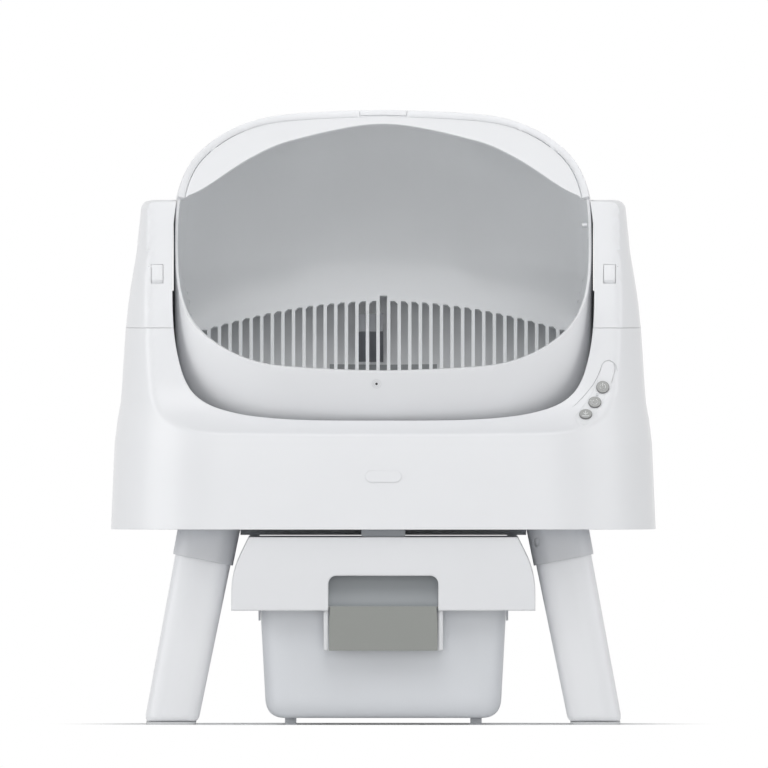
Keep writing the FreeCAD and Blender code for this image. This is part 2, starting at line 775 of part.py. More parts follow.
def build_skirt():
    length = skirt_back_y - skirt_front_y
    outer = prism(skirt_outline(skirt_front_y, 0, skirt_base_z), V(0, length, 0))
    inner = prism(skirt_outline(skirt_front_y + skirt_wall, skirt_wall, skirt_base_z - skirt_wall),
                  V(0, length - 2 * skirt_wall, 0))
    shell = outer.cut(inner)
    rim = bag_ring_width + bin_wall
    mouth = box(-bin_half_width + rim, bin_half_width - rim, bin_front_y + rim, bin_back_y - rim,
                bin_top_z, skirt_top_z + 1)
    hand = grip_half_width + grip_gap
    corner = cutout_radius
    k = corner * (1 - math.sqrt(0.5))
    y = skirt_front_y - 1
    edges = [Part.makeLine(V(-hand, y, 0), V(hand, y, 0)),
             Part.makeLine(V(hand, y, 0), V(hand, y, cutout_top_z - corner)),
             arc(V(hand, y, cutout_top_z - corner), V(hand - k, y, cutout_top_z - k),
                 V(hand - corner, y, cutout_top_z)),
             Part.makeLine(V(hand - corner, y, cutout_top_z), V(corner - hand, y, cutout_top_z)),
             arc(V(corner - hand, y, cutout_top_z), V(k - hand, y, cutout_top_z - k),
                 V(-hand, y, cutout_top_z - corner)),
             Part.makeLine(V(-hand, y, cutout_top_z - corner), V(-hand, y, 0))]
    shell = shell.cut(mouth).cut(prism(edges, V(0, skirt_wall + 2, 0)))
    for side in (-1, 1):
        cheek = box(hand, hand + cheek_thickness, skirt_front_y + skirt_wall, grip_back_y,
                    grip_base_z, cutout_top_z)
        shell = shell.fuse(mirrored(cheek, side < 0, False))
    return shell.removeSplitter()


# Grey grip: a flat pull plate that bends back into a finger scoop behind the cut-out
def build_grip():
    t = skirt_wall
    front, back = skirt_front_y + 0.5, grip_back_y
    low = V(0, front, grip_base_z)
    bend = V(0, front, grip_bend_z)
    scoop = V(0, back - t, cutout_top_z + 6)
    mid = V(0, front + 7.5, (grip_bend_z + scoop.z) / 2 + 2)
    edges = [Part.makeLine(low, bend), arc(bend, mid, scoop), Part.makeLine(scoop, scoop + V(0, t, 0)),
             arc(scoop + V(0, t, 0), mid + V(0, t, -1), bend + V(0, t, 0)),
             Part.makeLine(bend + V(0, t, 0), low + V(0, t, 0)), Part.makeLine(low + V(0, t, 0), low)]
    shape = prism(edges, V(2 * (grip_half_width + grip_gap), 0, 0))
    shape.translate(V(-grip_half_width - grip_gap, 0, 0))
    return shape


def bin_solid(offset, base):
    wires = []
    for z, inset in ((base, 10.0), (base + 10.0, 0.0), (bin_top_z, 0.0)):
        grow = bin_draft * (z - base) - inset - offset
        wires.append(rounded_rect(z, -bin_half_width - grow, bin_half_width + grow, bin_front_y - grow,
                                  bin_back_y + grow, bin_corner - inset / 2))
    return Part.makeLoft(wires, True, True)


def build_bin():
    shell = bin_solid(0.0, bin_base_z).cut(bin_solid(bin_wall, bin_base_z + bin_wall))
    grow = bin_draft * (bin_top_z - bin_base_z)
    clips = []
    for side in (-1, 1):
        at = bin_half_width + bin_draft * (skirt_base_z - bin_base_z)
        front = bin_front_y + clip_front
        clip = box(at, at + clip_thickness, front, front + clip_length,
                   skirt_base_z - clip_drop, skirt_base_z + clip_rise)
        clips.append(mirrored(clip.cut(bin_solid(0.0, bin_base_z)), side < 0, False))
    feet = []
    for side in (-1, 1):
        for y in (bin_front_y + bin_foot_inset, bin_back_y - bin_foot_inset):
            x, half = bin_half_width - bin_foot_inset, bin_foot_size / 2
            feet.append(mirrored(box(x - half, x + half, y - half, y + half, 0, bin_base_z), side < 0, False))
    outer = rounded_rect(bin_top_z, -bin_half_width - grow, bin_half_width + grow, bin_front_y - grow,
                         bin_back_y + grow, bin_corner)
    w = bag_ring_width - grow
    inner = rounded_rect(bin_top_z, -bin_half_width + w, bin_half_width - w, bin_front_y + w, bin_back_y - w,
                         bin_corner - 8)
    ring = Part.Face(outer).extrude(V(0, 0, bag_ring_thickness))
    ring = ring.cut(Part.Face(inner).extrude(V(0, 0, bag_ring_thickness)))
    return shell, Part.makeCompound(clips), Part.makeCompound(feet), ring


# Round bar standing square on the saddle at a point, between two heights over its surface
def saddle_rod(place, radius, low, high):
    return on_saddle(Part.makeCylinder(radius, high - low, V(0, 0, low)), *place)


def build_buttons():
    buttons, holes = [], []
    inside = body_loft(wall + button_gap)
    for place in button_places:
        cap = saddle_rod(place, button_radius, -flange_depth, button_stand)
        flange = saddle_rod(place, flange_radius, -flange_depth - flange_thickness, -flange_depth)
        stem = saddle_rod(place, stem_radius, -stem_depth, -flange_depth)
        buttons.append(cap.fuse([flange.common(inside), stem]).removeSplitter())
        holes.append(saddle_rod(place, button_radius + button_gap, -2 * wall, 2 * wall))
    return buttons, holes


# Overlay that carries the buttons: a band with round ends along an arc seen from the front
def build_pad():
    a, b, c = [V(body_width / 2 - inset, -body_depth, z) for inset, z in pad_insets]
    path = arc(a, b, c)
    centre, radius = path.Curve.Center, path.Curve.Radius

    def beside(point, offset):
        ray = point - centre
        ray.normalize()
        return point + ray * offset

    w = pad_half_width
    along = c - b
    along.normalize()
    edges = [arc(beside(a, -w), beside(b, -w), beside(c, -w)), arc(beside(c, -w), c + along * w, beside(c, w)),
             arc(beside(c, w), beside(b, w), beside(a, w)), arc(beside(a, w), a + V(0, 0, w), beside(a, -w))]
    column = prism(edges, V(0, body_depth, 0))
    return saddle_solid(-pad_stand).cut(saddle_solid(0.0)).common(column)


# Circuit board behind the buttons on two posts that meet the underside of the saddle
def build_board():
    w, d = board_half_width, board_half_length
    board = box(-w, w, -d, d, -board_depth - board_thickness, -board_depth)
    for side in (-1, 1):
        x, y = side * (w - post_radius), side * (d - post_radius)
        board = board.fuse(Part.makeCylinder(post_radius, 2 * board_depth, V(x, y, -board_depth)))
    board.rotate(V(0, 0, 0), V(0, 0, 1), -board_turn)
    board = on_saddle(board.removeSplitter(), *button_places[1])
    return board.common(saddle_solid(wall)).common(body_loft(wall)).cut(tub_block())


def build_badge():
    w, h = badge_half_width, badge_half_height
    y = -body_depth
    edges = [Part.makeLine(V(h - w, y, badge_z + h), V(w - h, y, badge_z + h)),
             arc(V(w - h, y, badge_z + h), V(w, y, badge_z), V(w - h, y, badge_z - h)),
             Part.makeLine(V(w - h, y, badge_z - h), V(h - w, y, badge_z - h)),
             arc(V(h - w, y, badge_z - h), V(-w, y, badge_z), V(h - w, y, badge_z + h))]
    return body_loft(-badge_stand).cut(body_loft(0.0)).common(prism(edges, V(0, body_depth, 0)))


# Release tongue in the right-hand cover with its hinge pin, and the opening they sit in
def build_latch():
    length = (latch_top_z - latch_base_z) / math.sin(math.radians(tower_slope))
    w, g = latch_width / 2, latch_gap
    tongue = box(-w, w, -length, 0, -wall, latch_proud)
    opening = box(-w - g, w + g, -length - g, g, -2 * wall, wall)
    half = latch_pin_length / 2
    pin = rod_x(latch_pin_radius, -half, half, -latch_pin_drop, -wall / 2)
    bore = rod_x(latch_pin_radius + latch_pin_gap, -half, half, -latch_pin_drop, -wall / 2)
    return [on_saddle(shape, latch_x, latch_top_z) for shape in (tongue.cut(bore), opening, pin)]


def build_inlet():
    y = body_depth / 2
    inlet = box(inlet_x - inlet_half, inlet_x + inlet_half, y - inlet_length, y - 1,
                inlet_z - inlet_half, inlet_z + inlet_half)
    bore = Part.makeCylinder(inlet_bore_radius, inlet_bore_length, V(inlet_x, y - 1, inlet_z), V(0, -1, 0))
    return inlet, inlet.cut(bore)


# Home magnet in the front of the bowl, and the sensor behind the front of the tub
def build_magnet():
    radius = barrel_radius(abs(magnet_x), 0.0)
    magnet = Part.makeCylinder(magnet_radius, magnet_thickness, V(magnet_x, 0, -radius))
    magnet.rotate(V(0, 0, 0), V(1, 0, 0), -math.degrees(math.acos(magnet_drop / radius)))
    return at_axle(magnet)


def build_sensor():
    radius = well_meridian[0][1] + tub_wall
    sensor = box(magnet_x - sensor_half, magnet_x + sensor_half, -sensor_half, sensor_half,
                 -radius - sensor_thickness, 1 - radius)
    sensor.rotate(V(0, 0, 0), V(1, 0, 0), -sensor_angle)
    return at_axle(sensor).cut(tub_block())


def main():
    os.makedirs("parts", exist_ok=True)
    housing, tub, pan, covers = build_housing()
    bowl, cavity = build_drum()
    magnet = build_magnet()
    peg_end = drum_half_width - peg_seat
    peg = rod_x(peg_radius, peg_end - peg_length, peg_end, peg_y, axle_z + peg_rise)
    buttons, holes = build_buttons()
    lamp = saddle_rod(light_place, light_radius, -wall, light_stand)
    housing = housing.cut(Part.makeCompound(holes)).cut(lamp)
    inlet_hole, inlet = build_inlet()
    housing = housing.cut(inlet_hole)
    save("housing", housing)
    save("drum_tub", tub)
    save("base_pan", pan)
    save("waste_chute", build_chute())
    save("drawer_catch", box(-catch_width / 2, catch_width / 2, catch_front_y, catch_front_y + catch_depth,
                             skirt_top_z + runner_gap, body_base_z))
    save("drawer_runners", build_runners())
    save("control_pad", build_pad().cut(Part.makeCompound(holes)).cut(lamp))
    save("control_board", build_board())
    save("status_light", lamp)
    for name, shape in zip(button_names, buttons):
        save(name, shape)
    save("badge_plate", build_badge())
    save("power_inlet", inlet)
    save("home_sensor", build_sensor())
    tongue, opening, pin = build_latch()
    for name, cover, mirror_x in (("left", covers[0], True), ("right", covers[1], False)):
        save(name + "_cover", cover.cut(mirrored(opening, mirror_x, False)).cut(mirrored(pin, mirror_x, False)))
        save(name + "_latch", mirrored(tongue, mirror_x, False))
        save(name + "_latch_pin", mirrored(pin, mirror_x, False))
    save("drum_bowl", bowl.cut(peg).cut(magnet))
    save("home_magnet", magnet)
    save("visor_peg", peg)
    for name, shape in zip(("visor_ring", "visor_tab", "visor_panel"), build_visor()):
        save(name, shape)
    save("sieve", build_sieve(cavity))
    save("litter_baffle", build_baffle(cavity))
    save("sieve_keeper", build_keeper(cavity))
    flange, hub = build_trunnion()
    save("hub_flanges", pair(flange))
    save("trunnions", pair(hub))
    block, bush = build_bearing()
    save("bearing_blocks", pair(block))
    save("axle_bushes", pair(bush))
    for name, shape in zip(("drive_gear", "motor_pinion", "gear_motor", "motor_mount"), build_drive()):
        save(name, shape)
    leg, foot, collar = build_leg()
    holed = collar.cut(collar_hole())
    pads = []
    for name, mirror_x, mirror_y in (("front_right", False, False), ("front_left", True, False),
                                     ("rear_right", False, True), ("rear_left", True, True)):
        save(name + "_leg", mirrored(leg, mirror_x, mirror_y))
        save(name + "_collar", mirrored(holed if mirror_x == mirror_y else collar, mirror_x, mirror_y))
        pads.append(mirrored(foot, mirror_x, mirror_y))
    save("leg_pads", Part.makeCompound(pads))
    save("drawer_skirt", build_skirt())
    save("drawer_grip", build_grip())
    for name, shape in zip(("waste_bin", "bin_clips", "bin_feet", "bag_ring"), build_bin()):
        save(name, shape)


main()
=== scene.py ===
import math

import bmesh
import bpy
from mathutils import Matrix, Vector


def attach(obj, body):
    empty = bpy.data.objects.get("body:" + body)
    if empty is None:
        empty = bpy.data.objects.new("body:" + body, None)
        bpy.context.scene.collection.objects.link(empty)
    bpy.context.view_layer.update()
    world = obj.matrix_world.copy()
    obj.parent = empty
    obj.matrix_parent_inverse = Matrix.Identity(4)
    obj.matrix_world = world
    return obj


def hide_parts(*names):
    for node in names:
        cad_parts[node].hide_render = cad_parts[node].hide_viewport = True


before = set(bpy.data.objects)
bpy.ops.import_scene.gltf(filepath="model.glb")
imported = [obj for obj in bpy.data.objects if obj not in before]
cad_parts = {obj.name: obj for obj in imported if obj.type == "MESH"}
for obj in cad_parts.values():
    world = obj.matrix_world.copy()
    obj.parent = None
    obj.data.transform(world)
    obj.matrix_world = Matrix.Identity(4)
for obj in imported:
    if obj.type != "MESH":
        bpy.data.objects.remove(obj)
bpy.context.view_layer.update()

# Housing with its drum tub: the wide lower shell, moulded in satin white plastic with soft edges.
# It draws in towards the top, a saddle-shaped cut leaves the shelf and the two tower feet, and
# a barrel-shaped tub hangs in it. The tub is open below for the waste and at the axle's ends.
HALF_WIDTHS = ((0.2, 0.286), (0.2053, 0.286), (0.296, 0.282), (0.321, 0.2788), (0.338, 0.2757),
               (0.361, 0.274), (0.393, 0.272), (0.414, 0.2706), (0.445, 0.2674), (0.4725, 0.263),
               (0.4977, 0.2588), (0.5145, 0.2572), (0.55, 0.2535))
HALF_DEPTHS = ((0.2, 0.215), (0.2895, 0.2115), (0.3396, 0.205), (0.4155, 0.193), (0.55, 0.181))
PLAN_CORNER = 0.107
SIDE_BOW, FRONT_BOW = 3.0, 6.0
HOUSING_BASE, COVER_SEAM, TOWER_TOP = 0.205, 0.4163, 0.55
SHELF_Y, SHELF_Z = 0.209, 0.3055
SADDLE_RADIUS = 0.085
SHELF_ANGLE, TOWER_ANGLE = math.radians(22), math.radians(73)
SADDLE_Y = SHELF_Y + SADDLE_RADIUS * math.sin(SHELF_ANGLE)
SADDLE_Z = SHELF_Z + SADDLE_RADIUS * math.cos(SHELF_ANGLE)
SHELL_WALL, TUB_WALL = 0.003, 0.0025
EDGE_BLEND, TOP_ROUND = 0.0026, 0.009
AXLE_Z, AXLE_SLOT = 0.433, 0.03
CHUTE_HALF_X, CHUTE_HALF_Y = 0.1, 0.074
BUTTON_RADIUS, BUTTON_GAP, BUTTON_HOLE_REACH = 0.0068, 0.0003, 0.008
BUTTON_PLACES = {"power_button": (0.2304, 0.3539), "clean_button": (0.2221, 0.3379),
                 "level_button": (0.2125, 0.3252)}
SHELL_ROUND, CUTTER_ROUND, SHARP_ANGLE = 480, 160, 35.0
WELL_POINTS = ((0.0, 0.2178), (0.06, 0.2176), (0.1, 0.2158), (0.135, 0.2115), (0.16, 0.2055),
               (0.182, 0.197), (0.198, 0.186), (0.2085, 0.1735), (0.215, 0.16), (0.2195, 0.146),
               (0.2215, 0.133))


def added(tree, kind, values=(), **settings):
    """New node with values on its sockets, by name or number, and settings of its own."""
    node = tree.nodes.new(kind)
    for key, value in dict(values).items():
        node.inputs[key].default_value = value
    for key, value in settings.items():
        setattr(node, key, value)
    return node


def wired(tree, *pairs):
    for source, target in pairs:
        tree.links.new(source, target)


def plastic(name, color, roughness, tint=0.02, coat=0.0, edge=0.0007, metallic=0.0):
    """Moulded plastic: a faint cloudiness of colour, a fine pebbled skin and softened edges."""
    made = bpy.data.materials.new(name)
    made.use_nodes = True
    tree = made.node_tree
    shader = tree.nodes["Principled BSDF"]
    for key, value in (("Coat Weight", coat), ("Coat Roughness", 0.25), ("Metallic", metallic)):
        shader.inputs[key].default_value = value
    place = added(tree, "ShaderNodeTexCoord").outputs["Object"]
    cloud = added(tree, "ShaderNodeTexNoise", {"Scale": 9.0, "Detail": 3.0})
    shade = added(tree, "ShaderNodeValToRGB")
    shade.color_ramp.elements[0].position = 0.3
    shade.color_ramp.elements[1].position = 0.7
    shade.color_ramp.elements[0].color = (*[c * (1 - tint) for c in color], 1)
    shade.color_ramp.elements[1].color = (*color, 1)
    gloss = added(tree, "ShaderNodeMapRange",
                  {"To Min": roughness * 0.9, "To Max": roughness * 1.12})
    pebble = added(tree, "ShaderNodeTexNoise", {"Scale": 900.0, "Detail": 2.0})
    soften = added(tree, "ShaderNodeBevel", {"Radius": edge}, samples=6)
    bump = added(tree, "ShaderNodeBump", {"Strength": 0.25, "Distance": 0.00002})
    wired(tree, (place, cloud.inputs["Vector"]), (cloud.outputs["Fac"], shade.inputs["Fac"]),
          (shade.outputs["Color"], shader.inputs["Base Color"]),
          (cloud.outputs["Fac"], gloss.inputs["Value"]),
          (gloss.outputs["Result"], shader.inputs["Roughness"]),
          (place, pebble.inputs["Vector"]), (pebble.outputs["Fac"], bump.inputs["Height"]),
          (soften.outputs["Normal"], bump.inputs["Normal"]),
          (bump.outputs["Normal"], shader.inputs["Normal"]))
    return made


def finished(mesh, name, smooth_angle=SHARP_ANGLE):
    """Turns a bmesh into a smooth-shaded object whose edges over the angle stay sharp."""
    data = bpy.data.meshes.new(name)
    mesh.to_mesh(data)
    mesh.free()
    data.shade_smooth()
    data.set_sharp_from_angle(angle=math.radians(smooth_angle))
    piece = bpy.data.objects.new(name, data)
    bpy.context.scene.collection.objects.link(piece)
    return piece


def placed(piece, materials, body, slot, *nodes):
    """Gives a piece its material or materials, and puts it on its body in place of its nodes."""
    if not isinstance(materials, tuple):
        piece.data.materials.clear()
        materials = (materials,)
    for material in materials:
        piece.data.materials.append(material)
    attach(piece, body)
    if nodes:
        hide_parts(*nodes)


def settled(piece):
    """Keeps what the piece's modifiers make as its own mesh."""
    bpy.context.view_layer.update()
    shown = piece.evaluated_get(bpy.context.evaluated_depsgraph_get())
    done = bpy.data.meshes.new_from_object(shown)
    piece.modifiers.clear()
    piece.data = done
    return piece


def carved(piece, cutters, kept=()):
    """Cuts the piece with the cutters, and throws away those that aren't needed again."""
    for cutter in cutters:
        step = piece.modifiers.new("cut", "BOOLEAN")
        step.object = cutter
        step.operation = "DIFFERENCE"
        step.solver = "EXACT"
    settled(piece)
    piece.data.shade_smooth()
    piece.data.set_sharp_from_angle(angle=math.radians(SHARP_ANGLE))
    for cutter in cutters:
        if cutter not in kept:
            bpy.data.objects.remove(cutter)
    return piece


def between(rows, z):
    """Value at a height from rows of (height, value)."""
    for (z0, v0), (z1, v1) in zip(rows, rows[1:]):
        if z <= z1:
            return v0 + (v1 - v0) * max(0.0, z - z0) / (z1 - z0)
    return rows[-1][1]


def in_steps(low, high, count):
    return [low + (high - low) * i / count for i in range(count + 1)]


def level_runs(*runs):
    """Heights of level rings, from runs of (lowest, highest, steps)."""
    return [z for run in runs for z in in_steps(*run)]


def smooth_max(a, b, blend):
    h = max(blend - abs(a - b), 0.0) / blend
    return max(a, b) + h * h * blend / 4


def rounded_depth(x, y, half_x, half_y, corner):
    """Distance outside a rounded rectangle about the origin, below zero inside it."""
    qx, qy = abs(x) - half_x + corner, abs(y) - half_y + corner
    return math.hypot(max(qx, 0), max(qy, 0)) + min(max(qx, qy), 0) - corner


def saddle_lean(z):
    """Angle of the saddle's surface at a height: the shelf's, the arc's or the tower's."""
    if z >= SADDLE_Z:
        return TOWER_ANGLE
    return min(max(math.acos(min((SADDLE_Z - z) / SADDLE_RADIUS, 1.0)), SHELF_ANGLE), TOWER_ANGLE)


def shell_depth(x, y, z):
    """Distance outside the housing's outer skin, below zero inside it."""
    rise = min(max(z - TOWER_TOP + TOP_ROUND, 0.0), TOP_ROUND)
    wide = (between(HALF_WIDTHS, z) - y * y / (2 * SIDE_BOW) - TOP_ROUND
            + math.sqrt(TOP_ROUND ** 2 - rise ** 2))
    deep = between(HALF_DEPTHS, z) - x * x / (2 * FRONT_BOW)
    plan = rounded_depth(x, y, wide, deep, PLAN_CORNER)
    dy, dz = SADDLE_Y - abs(y), z - SADDLE_Z
    turn = math.atan2(dy, -dz)
    if SHELF_ANGLE <= turn <= TOWER_ANGLE:
        saddle = SADDLE_RADIUS - math.hypot(dy, dz)
    else:
        slope = SHELF_ANGLE if turn < SHELF_ANGLE else TOWER_ANGLE
        saddle = SADDLE_RADIUS - dy * math.sin(slope) + dz * math.cos(slope)
    return smooth_max(smooth_max(plan, saddle, EDGE_BLEND), z - TOWER_TOP, EDGE_BLEND)


def saddle_place(x, z):
    """Point on the front of the saddle, and its outward direction there."""
    lean = saddle_lean(z)
    y = SADDLE_RADIUS * math.sin(lean) - SADDLE_Y
    rise = z - SADDLE_Z + SADDLE_RADIUS * math.cos(lean)
    return Vector((x, y + rise / math.tan(lean), z)), Vector((0, -math.sin(lean), math.cos(lean)))


def last_inside(inside, low, high, rounds=20):
    """Furthest distance at which the test still holds, found by halving."""
    for _ in range(rounds):
        middle = (low + high) / 2
        low, high = (middle, high) if inside(middle) else (low, middle)
    return low


def skin_block(name, levels, depth, around, centre=None, reach=0.4):
    """Closed block of level rings, each moved out from the centre to where the depth is zero."""
    mesh = bmesh.new()
    rings = []
    for z in levels:
        cx, cy = centre(z) if centre else (0.0, 0.0)
        ring = bmesh.ops.create_circle(mesh, segments=around, radius=1)["verts"]
        for vert in ring:
            dx, dy = vert.co.x, vert.co.y
            far = last_inside(lambda r: depth(cx + dx * r, cy + dy * r, z) <= 0, 0.0, reach, 22)
            vert.co = (cx + dx * far, cy + dy * far, z)
        rings.append(list({edge for vert in ring for edge in vert.link_edges}))
    for lower, upper in zip(rings, rings[1:]):
        bmesh.ops.bridge_loops(mesh, edges=lower + upper)
    for ring in (rings[0], rings[-1]):
        bmesh.ops.contextual_create(mesh, geom=ring)
    bmesh.ops.recalc_face_normals(mesh, faces=mesh.faces)
    return finished(mesh, name)


def hoop(mesh, corners, axis, steps, closed=True):
    """Turns an outline, closed or open, about an axis through the origin."""
    line = [mesh.verts.new(place) for place in corners]
    ends = line[1:] + line[:1] if closed else line[1:]
    edges = [mesh.edges.new(pair) for pair in zip(line, ends)]
    bmesh.ops.spin(mesh, geom=line + edges, cent=(0, 0, 0), axis=axis, angle=2 * math.pi,
                   steps=steps, use_merge=True)


def spun(profile, name, steps=160):
    """Solid of revolution about the drum's axle from (x, radius) points that end on the axle."""
    mesh = bmesh.new()
    hoop(mesh, [(x, 0, radius) for x, radius in profile], (1, 0, 0), steps, closed=False)
    bmesh.ops.remove_doubles(mesh, verts=mesh.verts, dist=1e-6)
    bmesh.ops.recalc_face_normals(mesh, faces=mesh.faces)
    bmesh.ops.translate(mesh, verts=mesh.verts, vec=(0, 0, AXLE_Z))
    return finished(mesh, name, 50)


def rounded_profile(points, fine=4):
    """The points of a meridian with a smooth curve drawn through them."""
    line = []
    ends = [(-points[1][0], points[1][1])] + list(points) + [(points[-1][0], points[-1][1] - 0.01)]
    for a, b, c, d in zip(ends, ends[1:], ends[2:], ends[3:]):
        for i in range(fine):
            t = i / fine
            line.append(tuple(0.5 * (2 * q + (r - p) * t + (2 * p - 5 * q + 4 * r - s) * t * t
                                     + (3 * q - p - 3 * r + s) * t ** 3)
                              for p, q, r, s in zip(a, b, c, d)))
    return line + [points[-1]]


def well_profile(offset):
    half = [(x * (1 + offset / WELL_POINTS[-1][0]), r + offset)
            for x, r in rounded_profile(WELL_POINTS)]
    side = half + [(half[-1][0], 0.0)]
    return [(-x, r) for x, r in reversed(side)] + side[1:]


def rod(name, radius, start, end, segments=48, flatten=1.0):
    """Round bar between two points, stretched along z where it is flattened."""
    mesh = bmesh.new()
    line = Vector(end) - Vector(start)
    turn = line.to_track_quat("Z", "Y").to_matrix().to_4x4()
    stretch = Matrix.Diagonal((1, 1, flatten, 1))
    middle = (Vector(start) + Vector(end)) / 2
    bmesh.ops.create_cone(mesh, cap_ends=True, segments=segments, radius1=radius, radius2=radius,
                          depth=line.length, matrix=Matrix.Translation(middle) @ stretch @ turn)
    return finished(mesh, name)


def plain_block(name, low, high):
    """Rectangular block between two corners."""
    mesh = bmesh.new()
    bmesh.ops.create_cube(mesh, size=1)
    bmesh.ops.scale(mesh, vec=[b - a for a, b in zip(low, high)], verts=mesh.verts)
    bmesh.ops.translate(mesh, vec=[(a + b) / 2 for a, b in zip(low, high)], verts=mesh.verts)
    return finished(mesh, name)


shell_white = plastic("shell_white_plastic", (0.77, 0.78, 0.80), 0.34, coat=0.12, edge=0.0012)
lower_levels = [HOUSING_BASE, 0.2056, 0.207] + level_runs(
    (0.225, 0.29, 4), (0.294, 0.299, 3), (0.3, 0.3155, 17), (0.317, 0.345, 14), (0.348, 0.366, 6),
    (0.372, COVER_SEAM, 5))
housing = skin_block("housing_shell", lower_levels, shell_depth, SHELL_ROUND)
cavity = skin_block("cavity", [HOUSING_BASE - 0.01] + lower_levels[3:-1:2] + [COVER_SEAM + 0.01],
                    lambda x, y, z: shell_depth(x, y, z) + SHELL_WALL, CUTTER_ROUND)
tub_outside = spun(well_profile(TUB_WALL), "tub_outside", 120)
well = spun(well_profile(0.0), "well", 180)
carved(cavity, [tub_outside], kept=[tub_outside])
holes = []
for key, (x, z) in BUTTON_PLACES.items():
    spot, out = saddle_place(x, z)
    deep = out * BUTTON_HOLE_REACH
    holes.append(rod("hole_" + key, BUTTON_RADIUS + BUTTON_GAP, spot - deep, spot + deep))
waste_hole = plain_block("waste_hole", (-CHUTE_HALF_X, -CHUTE_HALF_Y, 0.1),
                         (CHUTE_HALF_X, CHUTE_HALF_Y, 0.3))
axle_hole = rod("axle_hole", AXLE_SLOT, (-0.25, 0, AXLE_Z), (0.25, 0, AXLE_Z))
carved(housing, [cavity, well] + holes + [waste_hole, axle_hole], kept=[well])
placed(housing, shell_white, "base", "white_shell", "housing", "drum_tub")

# Base pan, waste chute, runners and catch: inner mouldings as the CAD has them, in a pale grey that
# is painted light for the shaded strip under the housing, the catch in a dark grey that is painted
# shade for that strip. The pan is screwed into the housing's open base and carries the chute and the
# drawer's runners.
MERGE_WITHIN, SMOOTH_UNDER = 0.000005, math.radians(32)
smooth_group = bpy.data.node_groups.new("smooth_over_curves", "GeometryNodeTree")
smooth_group.interface.new_socket("Geometry", in_out="INPUT", socket_type="NodeSocketGeometry")
smooth_group.interface.new_socket("Geometry", in_out="OUTPUT", socket_type="NodeSocketGeometry")
group_in = added(smooth_group, "NodeGroupInput")
group_out = added(smooth_group, "NodeGroupOutput")
merge = added(smooth_group, "GeometryNodeMergeByDistance", {"Distance": MERGE_WITHIN})
round_faces = added(smooth_group, "GeometryNodeSetShadeSmooth", domain="FACE")
keep_edges = added(smooth_group, "GeometryNodeSetShadeSmooth", {"Shade Smooth": False},
                   domain="EDGE")
angle = added(smooth_group, "GeometryNodeInputMeshEdgeAngle")
over = added(smooth_group, "FunctionNodeCompare", {1: SMOOTH_UNDER}, operation="GREATER_THAN")
wired(smooth_group, (group_in.outputs[0], merge.inputs["Geometry"]),
      (merge.outputs["Geometry"], round_faces.inputs["Geometry"]),
      (round_faces.outputs["Geometry"], keep_edges.inputs["Geometry"]),
      (angle.outputs["Unsigned Angle"], over.inputs[0]),
      (over.outputs["Result"], keep_edges.inputs["Selection"]),
      (keep_edges.outputs["Geometry"], group_out.inputs[0]))


def dress(material, *nodes):
    """Gives CAD nodes a material and shades their curved faces smooth."""
    for key in nodes:
        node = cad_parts[key]
        node.data.materials.clear()
        node.data.materials.append(material)
        node.modifiers.new("smooth", "NODES").node_group = smooth_group


# Painted light: the inner mouldings' grey is made pale to brighten the shaded strip under the
# housing.
inner_painted_light = plastic("inner_painted_light_plastic", (0.68, 0.71, 0.76), 0.5)
# Painted shade: the catch is coloured dark grey to stand for the shadow in the strip under the
# housing.
catch_painted_shade = plastic("catch_painted_shade_plastic", (0.27, 0.285, 0.30), 0.45)
dress(inner_painted_light, "base_pan", "waste_chute", "drawer_runners", "motor_mount", "bearing_blocks")
dress(catch_painted_shade, "drawer_catch")

# Legs and collars: four splayed white legs, each hollow, with a soft crease down its front, and
# pushed up into a collar that hangs under the housing. The front right collar has the release
# slot. Grey rubber pads close the feet.
LEG_TOP_X, LEG_TOP_Y = 0.183, 0.137
SPLAY_X, SPLAY_Y = 0.195, 0.1
LEG_HALF_X, LEG_HALF_Y, LEG_TAPER, LEG_CORNER = 0.0281, 0.030, 0.0105, 0.019
CREASE_SHARE = 0.33
OUTER_TURN, INNER_TURN = math.radians(17), math.radians(5)
RIDGE_BLEND, FRONT_BLEND, FOOT_ROUND = 0.002, 0.004, 0.007
FOOT_Z, FOOT_RISES = 0.003, (0, 0.0004, 0.001, 0.002, 0.0035, 0.0055, 0.008)
COLLAR_MARGIN, COLLAR_DROP, LIP_ROUND = 0.0026, 0.032, 0.0016
COLLAR_LEVELS = (0.16, 0.172, 0.184, 0.2, HOUSING_BASE)
RELEASE_X, RELEASE_Z, RELEASE_RADIUS, RELEASE_STRETCH = 0.1612, 0.1914, 0.0026, 1.8


def leg_centre(z):
    down = HOUSING_BASE - z
    return LEG_TOP_X + SPLAY_X * down, -LEG_TOP_Y - SPLAY_Y * down


def leg_plan(x, y, z, grow):
    cx, cy = leg_centre(z)
    hx, hy = LEG_HALF_X + LEG_TAPER * z + grow, LEG_HALF_Y + LEG_TAPER * z + grow
    return rounded_depth(x - cx, y - cy, hx, hy, LEG_CORNER + grow)


def leg_depth(x, y, z):
    cx, cy = leg_centre(z)
    along = x - cx - CREASE_SHARE * LEG_HALF_X
    ahead = cy - LEG_HALF_Y - LEG_TAPER * z - y
    outer = ahead * math.cos(OUTER_TURN) + along * math.sin(OUTER_TURN)
    inner = ahead * math.cos(INNER_TURN) - along * math.sin(INNER_TURN)
    front = smooth_max(outer, inner, RIDGE_BLEND)
    side = smooth_max(leg_plan(x, y, z, 0.0), front, FRONT_BLEND)
    return smooth_max(side, FOOT_Z - z, FOOT_ROUND)


def rounded_off(mesh, edges, offset, segments):
    bmesh.ops.bevel(mesh, geom=edges, offset=offset, offset_type="OFFSET", segments=segments,
                    profile=0.5, affect="EDGES", material=-1, clamp_overlap=True)


